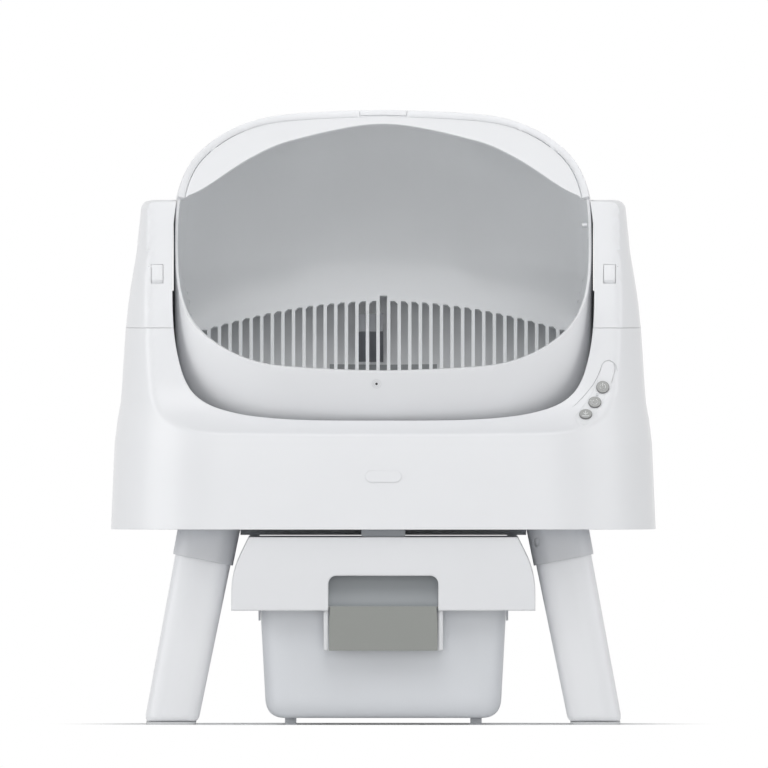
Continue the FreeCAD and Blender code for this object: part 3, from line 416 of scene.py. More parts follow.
leg_white = plastic("leg_white_plastic", (0.76, 0.77, 0.79), 0.38, edge=0.0016)
# Painted shade: the collars take a darker copy of the legs' white, standing for the housing's shadow
# on them.
collar_painted_shade = plastic("collar_painted_shade_plastic", (0.57, 0.58, 0.60), 0.4, edge=0.0012)
rubber = plastic("pad_rubber", (0.55, 0.56, 0.57), 0.7)
leg_levels = [FOOT_Z + rise for rise in FOOT_RISES] + in_steps(0.03, HOUSING_BASE, 7)
leg = skin_block("leg_pattern", leg_levels, leg_depth, 112, leg_centre, 0.06)
collar = skin_block("collar_pattern", COLLAR_LEVELS,
                    lambda x, y, z: leg_plan(x, y, z, COLLAR_MARGIN), 96, leg_centre, 0.06)
collar_low = HOUSING_BASE - COLLAR_DROP
tip = math.atan(SPLAY_X)
mesh = bmesh.new()
mesh.from_mesh(collar.data)
cut = bmesh.ops.bisect_plane(mesh, geom=mesh.verts[:] + mesh.edges[:] + mesh.faces[:], dist=1e-6,
                             plane_co=(*leg_centre(collar_low), collar_low),
                             plane_no=(-math.sin(tip), 0, math.cos(tip)), clear_inner=True)
lip = [part for part in cut["geom_cut"] if isinstance(part, bmesh.types.BMEdge)]
bmesh.ops.contextual_create(mesh, geom=lip)
rounded_off(mesh, lip, LIP_ROUND, 4)
bmesh.ops.recalc_face_normals(mesh, faces=mesh.faces)
mesh.to_mesh(collar.data)
mesh.free()


def mirrored_copy(pattern, name, flip_x, flip_y):
    mesh = bmesh.new()
    mesh.from_mesh(pattern.data)
    bmesh.ops.scale(mesh, vec=(-1 if flip_x else 1, -1 if flip_y else 1, 1), verts=mesh.verts)
    if flip_x != flip_y:
        bmesh.ops.reverse_faces(mesh, faces=mesh.faces)
    return finished(mesh, name)


for end, flip_y in (("front", False), ("rear", True)):
    for side, flip_x in (("right", False), ("left", True)):
        key = end + "_" + side
        placed(mirrored_copy(leg, key + "_leg_moulding", flip_x, flip_y), leg_white, "base",
               "leg_white", key + "_leg")
        ring = mirrored_copy(collar, key + "_collar_moulding", flip_x, flip_y)
        if key == "front_right":
            carved(ring, [rod("release_slot", RELEASE_RADIUS, (RELEASE_X, -0.2, RELEASE_Z),
                              (RELEASE_X, -0.15, RELEASE_Z), 24, RELEASE_STRETCH)])
        placed(ring, collar_painted_shade, "base", "leg_white", key + "_collar")
for pattern in (leg, collar):
    bpy.data.objects.remove(pattern)
dress(rubber, "leg_pads")

# Waste drawer: a white skirt that hangs on the runners, a grey pull grip screwed behind its hand
# cut-out, and a light grey bin that stands in it on four moulded feet. The skirt, the two clips and
# the bag ring are as the CAD has them.
BIN_HALF, BIN_FRONT, BIN_BACK = 0.1228, -0.177, 0.1373
BIN_BASE, BIN_TOP, BIN_DRAFT, BIN_CORNER, BIN_WALL = 0.007, 0.186, 0.054, 0.026, 0.0025
BIN_BOTTOM_BLEND, FOOT_SHIFT = 0.020, 0.0135
BIN_RISES = (0, 0.0002, 0.0007, 0.0015, 0.0027, 0.0043, 0.0063, 0.0087, 0.0115, 0.0148, 0.0185)
GRIP_HALF, GRIP_GAP, GRIP_FRONT, GRIP_BACK, GRIP_WALL = 0.0564, 0.0013, -0.2055, -0.190, 0.003
GRIP_BASE, GRIP_BEND, GRIP_TOP = 0.078, 0.1245, 0.1625
PLATE_FLARE, PLATE_SHOULDER, SCOOP_SET_BACK, SCOOP_WALL = 0.0006, 0.014, 0.0008, 0.002
skirt_white = plastic("skirt_white_plastic", (0.74, 0.75, 0.77), 0.36, edge=0.003)
bin_grey = plastic("bin_grey_plastic", (0.68, 0.70, 0.73), 0.42, edge=0.0012)
grip_grey = plastic("grip_grey_plastic", (0.27, 0.28, 0.265), 0.5)
# Painted shade: the grip's scoop faces take a bluish grey of their own, a tinted copy of the grip's
# grey that stands for the skirt's shadow over them.
scoop_painted_shade = plastic("scoop_painted_shade_plastic", (0.31, 0.33, 0.345), 0.45)


def bin_depth(x, y, z):
    grow = BIN_DRAFT * (z - BIN_BASE)
    middle, half_y = (BIN_FRONT + BIN_BACK) / 2, (BIN_BACK - BIN_FRONT) / 2
    return smooth_max(rounded_depth(x, y - middle, BIN_HALF + grow, half_y + grow, BIN_CORNER),
                      BIN_BASE - z, BIN_BOTTOM_BLEND)


def picked(kind, parts):
    return [part for part in parts if isinstance(part, kind)]


def prism(mesh, corners, shift):
    """Solid between a flat outline and the same outline moved by the shift."""
    face = mesh.faces.new([mesh.verts.new(place) for place in corners])
    moved = bmesh.ops.extrude_face_region(mesh, geom=[face])["geom"]
    bmesh.ops.translate(mesh, vec=shift, verts=picked(bmesh.types.BMVert, moved))


def walled(piece, wall, offset=-1.0, even=False):
    """Gives a sheet its wall, inward of its outside or outward."""
    step = piece.modifiers.new("wall", "SOLIDIFY")
    step.thickness = wall
    step.offset = offset
    step.use_even_offset = even
    return piece


bin_levels = [BIN_BASE + rise for rise in BIN_RISES] + in_steps(0.03, BIN_TOP, 6)
tub_of_bin = skin_block("waste_bin_moulding", bin_levels, bin_depth, 160,
                        lambda z: (0.0, (BIN_FRONT + BIN_BACK) / 2), 0.25)
mesh = bmesh.new()
mesh.from_mesh(tub_of_bin.data)
bmesh.ops.delete(mesh, geom=[f for f in mesh.faces if f.calc_center_median().z > BIN_TOP - 1e-5],
                 context="FACES_ONLY")
mesh.to_mesh(tub_of_bin.data)
mesh.free()
placed(walled(tub_of_bin, BIN_WALL), bin_grey, "drawer", "bin_grey", "waste_bin")

mesh = bmesh.new()
plate = [(GRIP_HALF + PLATE_FLARE, GRIP_BASE),
         (GRIP_HALF + PLATE_FLARE, GRIP_BEND - PLATE_SHOULDER), (GRIP_HALF - PLATE_FLARE, GRIP_BEND)]
outline = plate + [(-x, z) for x, z in reversed(plate)]
prism(mesh, [(x, GRIP_FRONT, z) for x, z in outline], (0, GRIP_WALL, 0))
scoop = []
for step in in_steps(0.0, 1.0, 12):
    swing = step * math.pi / 2
    scoop.append((GRIP_FRONT + SCOOP_SET_BACK + (GRIP_BACK - GRIP_FRONT) * math.sin(swing),
                  GRIP_BEND + (GRIP_TOP - GRIP_BEND) * (1 - math.cos(swing))))
wide = GRIP_HALF + GRIP_GAP
left = [mesh.verts.new((-wide, y, z)) for y, z in scoop]
line = [mesh.edges.new(pair) for pair in zip(left, left[1:])]
sheet = bmesh.ops.extrude_edge_only(mesh, edges=line)["geom"]
bmesh.ops.translate(mesh, vec=(2 * wide, 0, 0), verts=picked(bmesh.types.BMVert, sheet))
scoop_faces = picked(bmesh.types.BMFace, sheet)
bmesh.ops.recalc_face_normals(mesh, faces=mesh.faces)
if scoop_faces[0].normal.y > 0:
    bmesh.ops.reverse_faces(mesh, faces=scoop_faces)
wall = bmesh.ops.solidify(mesh, geom=scoop_faces, thickness=SCOOP_WALL)["geom"]
# The scoop's faces get the painted-shade grey.
for part in scoop_faces + picked(bmesh.types.BMFace, wall):
    part.material_index = 1
grip = finished(mesh, "drawer_grip_moulding")
placed(grip, (grip_grey, scoop_painted_shade), "drawer", "grip_grey", "drawer_grip")
dress(skirt_white, "drawer_skirt", "bag_ring")
dress(bin_grey, "bin_clips")
feet_mesh = bpy.data.objects["bin_feet"].data.copy()
for vert in feet_mesh.vertices:
    vert.co.x += math.copysign(FOOT_SHIFT, vert.co.x)
bin_feet = bpy.data.objects.new("bin_foot_blocks", feet_mesh)
bpy.context.scene.collection.objects.link(bin_feet)
placed(bin_feet, bin_grey, "drawer", "bin_grey", "bin_feet")

# Drive and bearings: acetal hubs turn in acetal bushes on the tub's bearing blocks, a gear motor
# with a brass pinion drives the large gear, and a power inlet and a sensor serve them.
acetal = plastic("acetal", (0.75, 0.75, 0.72), 0.35)
dark = plastic("dark_plastic", (0.03, 0.03, 0.033), 0.45)
brass = plastic("pinion_brass", (0.6, 0.43, 0.18), 0.3, metallic=1.0)
dress(acetal, "hub_flanges", "trunnions", "drive_gear", "axle_bushes")
dress(dark, "home_sensor", "power_inlet", "gear_motor")
dress(brass, "motor_pinion")

# Drum: a deep bowl of the same white plastic, 3 mm thick, turned about the axle and cut off by the
# sloping mouth, with a rounded lip and dark felt seals round its hubs. Inside, its deep faces take
# the liner's lightened colour as painted light, and those low under the sieve a darker grey as
# painted shade. A small dark magnet button sits in two shallow rings in front.
CROWN, SHOULDER, CORNER = 1.0, 0.145, 0.087
SHOULDER_START, CORNER_START = math.radians(5.7), math.radians(43.5)
PROFILE_EVENINGS = 8
DRUM_RADIUS, DRUM_HALF, DRUM_WALL, DRUM_LIP = 0.2115, 0.219, 0.003, 0.0012
RIM_TILT, RIM_DISTANCE, RIM_BAND = math.radians(48.3), 0.110, 0.014
UNDER_SIEVE, FACING_IN = 0.06, -0.03
LIP_ANGLE = math.radians(50)
SEAL_INNER, SEAL_OUTER, SEAL_WALL, SEAL_SUNK = 0.043, 0.107, 0.0012, (0.0015, 0.0035)
MAGNET_X, MAGNET_DROP, MAGNET_RADIUS, MAGNET_TAPER = -0.0071, 0.075, 0.0016, 0.8
MAGNET_LENGTH, MAGNET_SUNK = 0.0021, 0.0007
MAGNET_RINGS = (0.0031, 0.0048)
RING_OUTLINE = ((-0.0004, -0.0004), (-0.0002, 0.00016), (0.0002, 0.00016), (0.0004, -0.0004))
rim_out = Vector((0, -math.sin(RIM_TILT), math.cos(RIM_TILT)))
rim_up = Vector((0, math.cos(RIM_TILT), math.sin(RIM_TILT)))
axle = Vector((0, 0, AXLE_Z))


def drum_profile(offset, half=DRUM_HALF):
    """Meridian of the drum from its crown to its side, as (x, radius) points."""
    first, second = SHOULDER_START, CORNER_START

    def arc(x, r, radius, angles):
        bend = radius + offset
        return [(x + bend * math.sin(a), r + bend * math.cos(a)) for a in angles]

    x, r = 0.0, DRUM_RADIUS - CROWN
    points = arc(x, r, CROWN, in_steps(0, first, 7))
    x, r = x + (CROWN - SHOULDER) * math.sin(first), r + (CROWN - SHOULDER) * math.cos(first)
    shift = half - x - (SHOULDER - CORNER) * math.sin(second) - CORNER
    points += arc(x + shift, r, SHOULDER, in_steps(first, second, 14))
    x, r = x + (SHOULDER - CORNER) * math.sin(second), r + (SHOULDER - CORNER) * math.cos(second)
    points += arc(x + shift, r, CORNER, in_steps(second, math.pi / 2, 18)[1:])
    for _ in range(PROFILE_EVENINGS):
        evened = [tuple((p + 2 * q + r) / 4 for p, q, r in zip(*three))
                  for three in zip(points, points[1:], points[2:])]
        points = points[:1] + evened + points[-1:]
    return points


def drum_radius(x, rows):
    """Radius of a drum profile at a distance from the middle, zero outside it."""
    return 0.0 if abs(x) > rows[-1][0] else between(rows, abs(x))


def drum_skin(offset, name, half=DRUM_HALF):
    side = drum_profile(offset, half) + [(half + offset, 0.0)]
    return spun([(-x, r) for x, r in reversed(side)] + side[1:], name)


def trimmed(piece, place, out):
    """Cuts away what lies beyond a plane."""
    mesh = bmesh.new()
    mesh.from_mesh(piece.data)
    bmesh.ops.bisect_plane(mesh, geom=mesh.verts[:] + mesh.edges[:] + mesh.faces[:], dist=1e-6,
                           plane_co=place, plane_no=out, clear_outer=True)
    mesh.to_mesh(piece.data)
    mesh.free()
    return piece


def thickened(piece, wall, rounding, offset=-1.0, even=True):
    """Gives a sheet its wall, rounds the wall's edges, and keeps the result as its mesh."""
    step = walled(piece, wall, offset, even).modifiers.new("lip", "BEVEL")
    step.width = rounding
    step.segments = 3
    step.limit_method = "ANGLE"
    step.angle_limit = LIP_ANGLE
    return settled(piece)


# Painted light: the liner colour is lighter than the white shell, to brighten the drum's shaded
# inside; the bowl's deep inner faces take it too.
liner_painted_light = plastic("liner_painted_light_plastic", (0.92, 0.935, 0.95), 0.42, edge=0.0006)
# Painted shade: this darker grey goes on the bowl's inner faces low under the sieve.
bowl_painted_shade = plastic("bowl_painted_shade_plastic", (0.44, 0.455, 0.47), 0.5)
felt = plastic("seal_felt", (0.07, 0.075, 0.085), 0.9)
ring_groove_painted_shade = plastic("ring_groove_painted_shade_plastic", (0.66, 0.67, 0.69), 0.4)
bowl = trimmed(drum_skin(0.0, "drum_bowl_moulding"), axle + rim_out * RIM_DISTANCE, rim_out)
thickened(bowl, DRUM_WALL, DRUM_LIP)
placed(bowl, shell_white, "drum", "white_shell", "drum_bowl")
bowl.data.materials.append(liner_painted_light)
bowl.data.materials.append(bowl_painted_shade)
# Painted light and shade inside the bowl: deep inward faces get the lightened liner colour, those
# low under the sieve the darker painted-shade grey, and the rest keep the white.
for part in bowl.data.polygons:
    inward = part.normal.y * part.center.y + part.normal.z * (part.center.z - AXLE_Z)
    inward += part.normal.x * part.center.x
    deep = (part.center - axle).dot(rim_out) < RIM_DISTANCE - RIM_BAND
    below = 2 if part.center.z < AXLE_Z - UNDER_SIEVE else 1
    part.material_index = below if inward < FACING_IN and deep else 0

mesh = bmesh.new()
seal_outline = ((-SEAL_SUNK[0], SEAL_INNER), (SEAL_WALL, SEAL_INNER), (SEAL_WALL, SEAL_OUTER),
                (-SEAL_SUNK[1], SEAL_OUTER))
for side in (-1, 1):
    hoop(mesh, [(side * (DRUM_HALF + x), 0, r) for x, r in seal_outline], (1, 0, 0), 96)
bmesh.ops.remove_doubles(mesh, verts=mesh.verts, dist=1e-7)
bmesh.ops.recalc_face_normals(mesh, faces=mesh.faces)
bmesh.ops.translate(mesh, verts=mesh.verts, vec=(0, 0, AXLE_Z))
placed(finished(mesh, "drum_side_seals"), felt, "drum", "dark_plastic")

reach = drum_radius(MAGNET_X, drum_profile(0.0))
magnet_place = axle + Vector((MAGNET_X, -math.sqrt(reach ** 2 - MAGNET_DROP ** 2), -MAGNET_DROP))
magnet_out = (magnet_place - axle - Vector((MAGNET_X, 0, 0))).normalized()
turn = magnet_out.to_track_quat("Z", "Y").to_matrix().to_4x4()
mesh = bmesh.new()
bmesh.ops.create_cone(mesh, cap_ends=True, segments=40, radius1=MAGNET_RADIUS,
                      radius2=MAGNET_RADIUS * MAGNET_TAPER, depth=MAGNET_LENGTH,
                      matrix=Matrix.Translation(magnet_place - magnet_out * MAGNET_SUNK) @ turn)
placed(finished(mesh, "home_magnet_button"), dark, "drum", "dark_plastic", "home_magnet")
# Painted shade: the two rings are drawn as thin ridges in a grey darker than the drum, standing for
# the shade in shallow grooves.
mesh = bmesh.new()
for radius in MAGNET_RINGS:
    hoop(mesh, [(radius + dx, 0, dz) for dx, dz in RING_OUTLINE], (0, 0, 1), 48)
bmesh.ops.remove_doubles(mesh, verts=mesh.verts, dist=1e-7)
bmesh.ops.recalc_face_normals(mesh, faces=mesh.faces)
bmesh.ops.transform(mesh, matrix=Matrix.Translation(magnet_place) @ turn, verts=mesh.verts)
placed(finished(mesh, "magnet_rings"), ring_groove_painted_shade, "drum", "white_shell")

# Sieve and baffle: one liner welded into the drum, in a very light grey that is lighter than the
# white shell: painted light for the drum's shaded inside. Its slotted lower part sifts the litter,
# and it blends upwards into the curved baffle that closes the litter chamber at the back.
SIEVE_TOP_Y, SIEVE_TOP_RISE, SIEVE_SLOPE = 0.168, 0.014, math.radians(58)
BAFFLE_Y, BAFFLE_Z, BAFFLE_RADIUS = -0.00665, 0.4583, 0.175
LINER_WALL, LINER_GAP, LINER_LIP = 0.0025, 0.0028, 0.0004
SLOT_PITCH, SLOT_WIDTH, SLOT_COUNT, SLOT_CHAMFER = 0.0111, 0.0074, 17, 0.0032
SLOT_RISE, SLOT_ARC, SLOT_MARGIN, CENTRE_EXTRA = 0.0076, 0.670, 0.014, 0.0048
SLOT_BEFORE, SLOT_THROUGH = 0.03, 0.06
WALL_BLEND, LEAST_BLEND, FOOT_BLEND, BLEND_REACH = 0.085, 0.003, 0.030, 0.07
SIDE_START, SIDE_SPREAD = 0.2, 0.35
PARALLEL, FAR_OFF = 1e-3, 9.0
sieve_top = Vector((0, SIEVE_TOP_Y, AXLE_Z + SIEVE_TOP_RISE))
sieve_down = Vector((0, -math.cos(SIEVE_SLOPE), -math.sin(SIEVE_SLOPE)))
sieve_back = Vector((0, math.sin(SIEVE_SLOPE), -math.cos(SIEVE_SLOPE)))
inner_rows = drum_profile(-LINER_GAP)
heart = Vector((0, -0.02, 0.47))


def eased(share):
    share = min(max(share, 0.0), 1.0)
    return share * share * (3 - 2 * share)


def liner_reach(ray):
    """Distance from the chamber's heart to the liner along a ray, and whether the liner shows."""
    def in_drum(far):
        point = heart + ray * far
        return math.hypot(point.y, point.z - AXLE_Z) < drum_radius(point.x, inner_rows)

    wall = last_inside(in_drum, 0.0, 0.5)
    flat = ray.y ** 2 + ray.z ** 2
    oy, oz = heart.y - BAFFLE_Y, heart.z - BAFFLE_Z
    half = ray.y * oy + ray.z * oz
    gap = oy * oy + oz * oz - BAFFLE_RADIUS ** 2
    baffle = (math.sqrt(half * half - flat * gap) - half) / flat if flat > 1e-6 else FAR_OFF
    if heart.z + ray.z * baffle < sieve_top.z:
        square = Vector((0, SIEVE_TOP_Y - BAFFLE_Y, sieve_top.z - BAFFLE_Z)).normalized()
        lift = ray.dot(square)
        baffle = (sieve_top - heart).dot(square) / lift if lift > PARALLEL else FAR_OFF
    slope = ray.dot(sieve_back)
    sieve = (sieve_top - heart).dot(sieve_back) / slope if slope > PARALLEL else FAR_OFF
    reached = -smooth_max(-baffle, -sieve, FOOT_BLEND)
    sideways = eased((abs(ray.x) - SIDE_START) / SIDE_SPREAD)
    blend = LEAST_BLEND + WALL_BLEND * sideways * eased((sieve - baffle) / BLEND_REACH + 0.5)
    return -smooth_max(-wall, -reached, blend), reached < wall + blend


def facing(mesh, measure):
    """Turns all the faces so that the measure, summed over them, is above zero."""
    bmesh.ops.recalc_face_normals(mesh, faces=mesh.faces)
    if sum(measure(face) for face in mesh.faces) < 0:
        bmesh.ops.reverse_faces(mesh, faces=mesh.faces)


mesh = bmesh.new()
bmesh.ops.create_uvsphere(mesh, u_segments=240, v_segments=150, radius=1,
                          matrix=Matrix.Rotation(math.pi / 2, 4, "Y"))
hidden = []
for vert in mesh.verts:
    ray = vert.co.normalized()
    far, shows = liner_reach(ray)
    vert.co = heart + ray * far
    if not shows:
        hidden.append(vert)
bmesh.ops.delete(mesh, geom=hidden, context="VERTS")
facing(mesh, lambda face: face.normal.dot(face.calc_center_median() - heart))
liner = finished(mesh, "sieve_and_baffle_liner", 60)
trimmed(liner, axle + rim_out * (RIM_DISTANCE - LINER_LIP), rim_out)
settled(walled(liner, LINER_WALL, 1.0))
mesh = bmesh.new()
level = sieve_top - axle
along = level.dot(sieve_down)
for index in range(-SLOT_COUNT, SLOT_COUNT + 1):
    x = index * SLOT_PITCH
    rise = SLOT_RISE - SLOT_ARC + math.sqrt(SLOT_ARC ** 2 - x * x)
    rise += CENTRE_EXTRA if index == 0 else 0
    start = (SIEVE_TOP_RISE - rise) / math.sin(SIEVE_SLOPE)
    foot = drum_radius(abs(x) + SLOT_WIDTH, drum_profile(-DRUM_WALL)) - SLOT_MARGIN
    end = -along + math.sqrt(along ** 2 - level.dot(level) + foot ** 2)
    half, outer = SLOT_WIDTH / 2, (index > 0) - (index < 0)
    rows = [(-half, end), (half, end), (half, start + (SLOT_CHAMFER if outer > 0 else 0))]
    rows += [(half - SLOT_CHAMFER, start)] if outer > 0 else []
    rows += [(SLOT_CHAMFER - half, start)] if outer < 0 else []
    rows += [(-half, start + (SLOT_CHAMFER if outer < 0 else 0))]
    before = sieve_top - sieve_back * SLOT_BEFORE
    prism(mesh, [before + sieve_down * down + Vector((x + dx, 0, 0)) for dx, down in rows],
          sieve_back * SLOT_THROUGH)
bmesh.ops.recalc_face_normals(mesh, faces=mesh.faces)
carved(liner, [finished(mesh, "slots")])
placed(liner, liner_painted_light, "drum", "sieve_grey", "sieve", "litter_baffle")
keeper_grey = plastic("keeper_grey_plastic", (0.30, 0.31, 0.33), 0.5)
dress(keeper_grey, "sieve_keeper")

# Visor: a rounded white frame clipped over the upper half of the rim, a thin guard panel set in
# it that leaves an arched mouth, a springy release tab at the top, and a peg that locates it.
RING_STAND, RING_SKIRT, RING_HEIGHT, RING_WIDE, VISOR_START = 0.0032, 0.008, 0.0042, 0.0075, 0.061
RING_HALF, RING_LIFT, RING_ROUND = 0.2165, 0.0003, 0.0013
SKIRT_HALF, SKIRT_OVERLAP, SKIRT_WALL, SKIRT_ROUND = 0.125, 0.0002, 0.0029, 0.0008
TAB_HALF, TAB_GAP, TAB_DEEP, TAB_ROUND, TAB_BACK = 0.0245, 0.0004, 0.0058, 0.0005, 0.1
TAB_LIFT, TAB_STAND, NOTCH_LIFT, NOTCH_DEEP, NOTCH_REACH = 0.0011, 0.0003, 0.0005, 0.012, 0.03
PANEL_WALL, PANEL_GAP, PANEL_LIFT, PANEL_ROUND, PANEL_LEAST = 0.0028, 0.0005, 0.0009, 0.0007, 0.001
PANEL_SIDE, CURVE_STEPS = 0.2125, 6
PANEL_CURVE = ((0.2165, 0.0535), (0.209, 0.060), (0.1925, 0.070), (0.1715, 0.088),
               (0.140, 0.115), (0.1085, 0.135), (0.0875, 0.143), (0.0665, 0.150),
               (0.0455, 0.156), (0.022, 0.1612), (0.0, 0.163))


def visor_band(name, low, high, wall, rounding):
    part = trimmed(drum_skin(RING_STAND, name, RING_HALF), axle + rim_out * low, -rim_out)
    part = trimmed(part, axle + rim_out * high, rim_out)
    return thickened(trimmed(part, axle + rim_up * VISOR_START, -rim_up), wall, rounding)


ring = visor_band("visor_ring_frame", RIM_DISTANCE + RING_LIFT, RIM_DISTANCE + RING_HEIGHT,
                  RING_WIDE, RING_ROUND)
skirt_band = visor_band("skirt_band", RIM_DISTANCE - RING_SKIRT, RIM_DISTANCE + SKIRT_OVERLAP,
                        SKIRT_WALL, SKIRT_ROUND)
for side in (-1, 1):
    trimmed(skirt_band, Vector((side * SKIRT_HALF, 0, 0)), Vector((side, 0, 0)))
mesh = bmesh.new()
mesh.from_mesh(ring.data)
mesh.from_mesh(skirt_band.data)
mesh.to_mesh(ring.data)
mesh.free()
bpy.data.objects.remove(skirt_band)
crown = math.sqrt((DRUM_RADIUS + RING_STAND) ** 2 - (RIM_DISTANCE + RING_HEIGHT) ** 2)


def in_mouth(name, low, high):
    """Block in the mouth's own directions: across, up its slope and out of it."""
    block = plain_block(name, low, high)
    mouth = Matrix((Vector((1, 0, 0)), rim_up, rim_out)).transposed().to_4x4()
    block.data.transform(Matrix.Translation(axle) @ mouth)
    return block


notch = in_mouth("notch", (-TAB_HALF - TAB_GAP, crown - NOTCH_DEEP, RIM_DISTANCE + NOTCH_LIFT),
                 (TAB_HALF + TAB_GAP, crown + NOTCH_REACH, RIM_DISTANCE + NOTCH_REACH))
visor_white = plastic("visor_white_plastic", (0.84, 0.85, 0.87), 0.36, coat=0.1)
placed(carved(ring, [notch]), visor_white, "drum", "white_shell", "visor_ring")

tab = drum_skin(RING_STAND, "visor_tab_moulding", RING_HALF)
trimmed(tab, axle + rim_out * (RIM_DISTANCE + TAB_LIFT), -rim_out)
trimmed(tab, axle + rim_out * (RIM_DISTANCE + RING_HEIGHT + TAB_STAND), rim_out)
for side in (-1, 1):
    trimmed(tab, axle + Vector((side * TAB_HALF, 0, 0)), Vector((side, 0, 0)))
trimmed(tab, axle + rim_up * TAB_BACK, -rim_up)
thickened(tab, TAB_DEEP, TAB_ROUND)
placed(tab, visor_white, "visor_tab", "white_shell", "visor_tab")

polar = sorted((math.atan2(s, x), math.hypot(x, s)) for x, s in PANEL_CURVE)
polar_rows = []
beyond = [(math.pi - polar[-2][0], polar[-2][1])]
for a, b, c, d in zip(polar[:1] + polar, polar, polar[1:], polar[2:] + beyond):
    for i in range(CURVE_STEPS):
        t, wide = i / CURVE_STEPS, c[0] - b[0]
        rise_b = (c[1] - a[1]) / (c[0] - a[0]) * wide
        rise_c = (d[1] - b[1]) / (d[0] - b[0]) * wide
        value = (b[1] * (2 * t ** 3 - 3 * t * t + 1) + rise_b * (t ** 3 - 2 * t * t + t)
                 + c[1] * (3 * t * t - 2 * t ** 3) + rise_c * (t ** 3 - t * t))
        polar_rows.append((b[0] + wide * t, value))
polar_rows.append(polar[-1])
frame_rows = drum_profile(RING_STAND - RING_WIDE - PANEL_GAP, RING_HALF)
panel_low = RIM_DISTANCE + PANEL_LIFT
start_turn = math.atan2(VISOR_START + PANEL_LEAST, PANEL_SIDE)
mesh = bmesh.new()
bmesh.ops.create_grid(mesh, x_segments=170, y_segments=6, size=1)
for vert in mesh.verts:
    swing = start_turn + (math.pi - 2 * start_turn) * (vert.co.x + 1) / 2
    up, across = math.sin(swing), math.cos(swing)
    outer = last_inside(lambda r: math.hypot(r * up, panel_low + PANEL_WALL)
                        < drum_radius(r * across, frame_rows), 0.1, 0.25)
    inner = min(between(polar_rows, min(swing, math.pi - swing)), outer - PANEL_LEAST)
    far = inner + (outer - inner) * (vert.co.y + 1) / 2
    vert.co = axle + rim_out * panel_low + rim_up * far * up + Vector((-far * across, 0, 0))
facing(mesh, lambda face: face.normal.dot(rim_out))
panel = thickened(finished(mesh, "visor_panel_moulding"), PANEL_WALL, PANEL_ROUND, 1.0, False)
placed(panel, visor_white, "drum", "white_shell", "visor_panel")
dress(shell_white, "visor_peg")

# Tower covers and latches: two lift-off shells of the same white plastic close the towers over
# the axle. Each is slotted from below to pass the axle and its bearing, and is held by a springy
# tongue on a steel pin in a window of its front.
SEAM_GAP, CAVITY_ROUND_START = 0.0002, 0.008
LATCH_X, LATCH_TOP, LATCH_BASE = 0.2375, 0.483, 0.4636
WINDOW_LOW, WINDOW_HIGH = (-0.00635, -0.0106, -0.008), (0.00635, 0.01032, 0.004)
BEARING_HALF, BEARING_X, COVER_INNER, COVER_OUTER = 0.0345, 0.2235, 0.15, 0.249
TONGUE_HALF, TONGUE_ROUND = 0.006, 0.0004
TONGUE = ((0.0102, 0.0), (-0.0068, 0.0009), (-0.0102, -0.0014), (-0.0102, -0.003), (0.0102, -0.003))
cover_levels = [COVER_SEAM + SEAM_GAP] + level_runs(
    (0.43, 0.51, 7), (0.516, 0.537, 4), (0.54, TOWER_TOP - 0.0006, 12)) + [TOWER_TOP - 0.0001]
tower_block = skin_block("tower_block", cover_levels, shell_depth, SHELL_ROUND)
tower_cavity = skin_block(
    "tower_cavity", [COVER_SEAM - 0.01] + cover_levels[1:-7:2] + [TOWER_TOP - SHELL_WALL],
    lambda x, y, z: shell_depth(x, y, min(z, TOWER_TOP - CAVITY_ROUND_START)) + SHELL_WALL,
    CUTTER_ROUND)
carved(tower_cavity, [tub_outside])
steel = plastic("pin_steel", (0.5, 0.5, 0.52), 0.3, metallic=1.0)
for side, key in ((-1, "left"), (1, "right")):
    top, _ = saddle_place(side * LATCH_X, LATCH_TOP)
    base, _ = saddle_place(side * LATCH_X, LATCH_BASE)
    on_tower = Matrix.Translation((top + base) / 2) @ Matrix.Rotation(TOWER_ANGLE, 4, "X")
    window = plain_block("window", WINDOW_LOW, WINDOW_HIGH)
    window.data.transform(on_tower)
    x0, x1 = sorted((side * COVER_INNER, side * COVER_OUTER))
    inner0, inner1 = sorted((side * BEARING_X, side * COVER_OUTER))
    cover = mirrored_copy(tower_block, key + "_tower_cover", False, False)
    carved(cover, [tower_cavity, well, window,
                   plain_block("other_half", (min(0, -side * 0.4), -0.4, 0.3),
                               (max(0, -side * 0.4), 0.4, 0.7)),
                   plain_block("axle_slot", (x0, -AXLE_SLOT, 0.4), (x1, AXLE_SLOT, AXLE_Z)),
                   rod("axle_round", AXLE_SLOT, (x0, 0, AXLE_Z), (x1, 0, AXLE_Z)),
                   plain_block("bearing_slot", (inner0, -BEARING_HALF, 0.4),
                               (inner1, BEARING_HALF, AXLE_Z + BEARING_HALF))],
           kept=[tower_cavity, well])
    placed(cover, shell_white, key + "_cover", "white_shell", key + "_cover")
    mesh = bmesh.new()
    prism(mesh, [(-TONGUE_HALF, y, z) for y, z in TONGUE], (2 * TONGUE_HALF, 0, 0))
    bmesh.ops.recalc_face_normals(mesh, faces=mesh.faces)
    rounded_off(mesh, mesh.edges[:], TONGUE_ROUND, 2)
    bmesh.ops.transform(mesh, matrix=on_tower, verts=mesh.verts)
    placed(finished(mesh, key + "_latch_tongue"), shell_white, key + "_latch", "white_shell",
           key + "_latch")
dress(steel, "left_latch_pin", "right_latch_pin")
for cutter in (tower_block, tower_cavity, well):
    bpy.data.objects.remove(cutter)

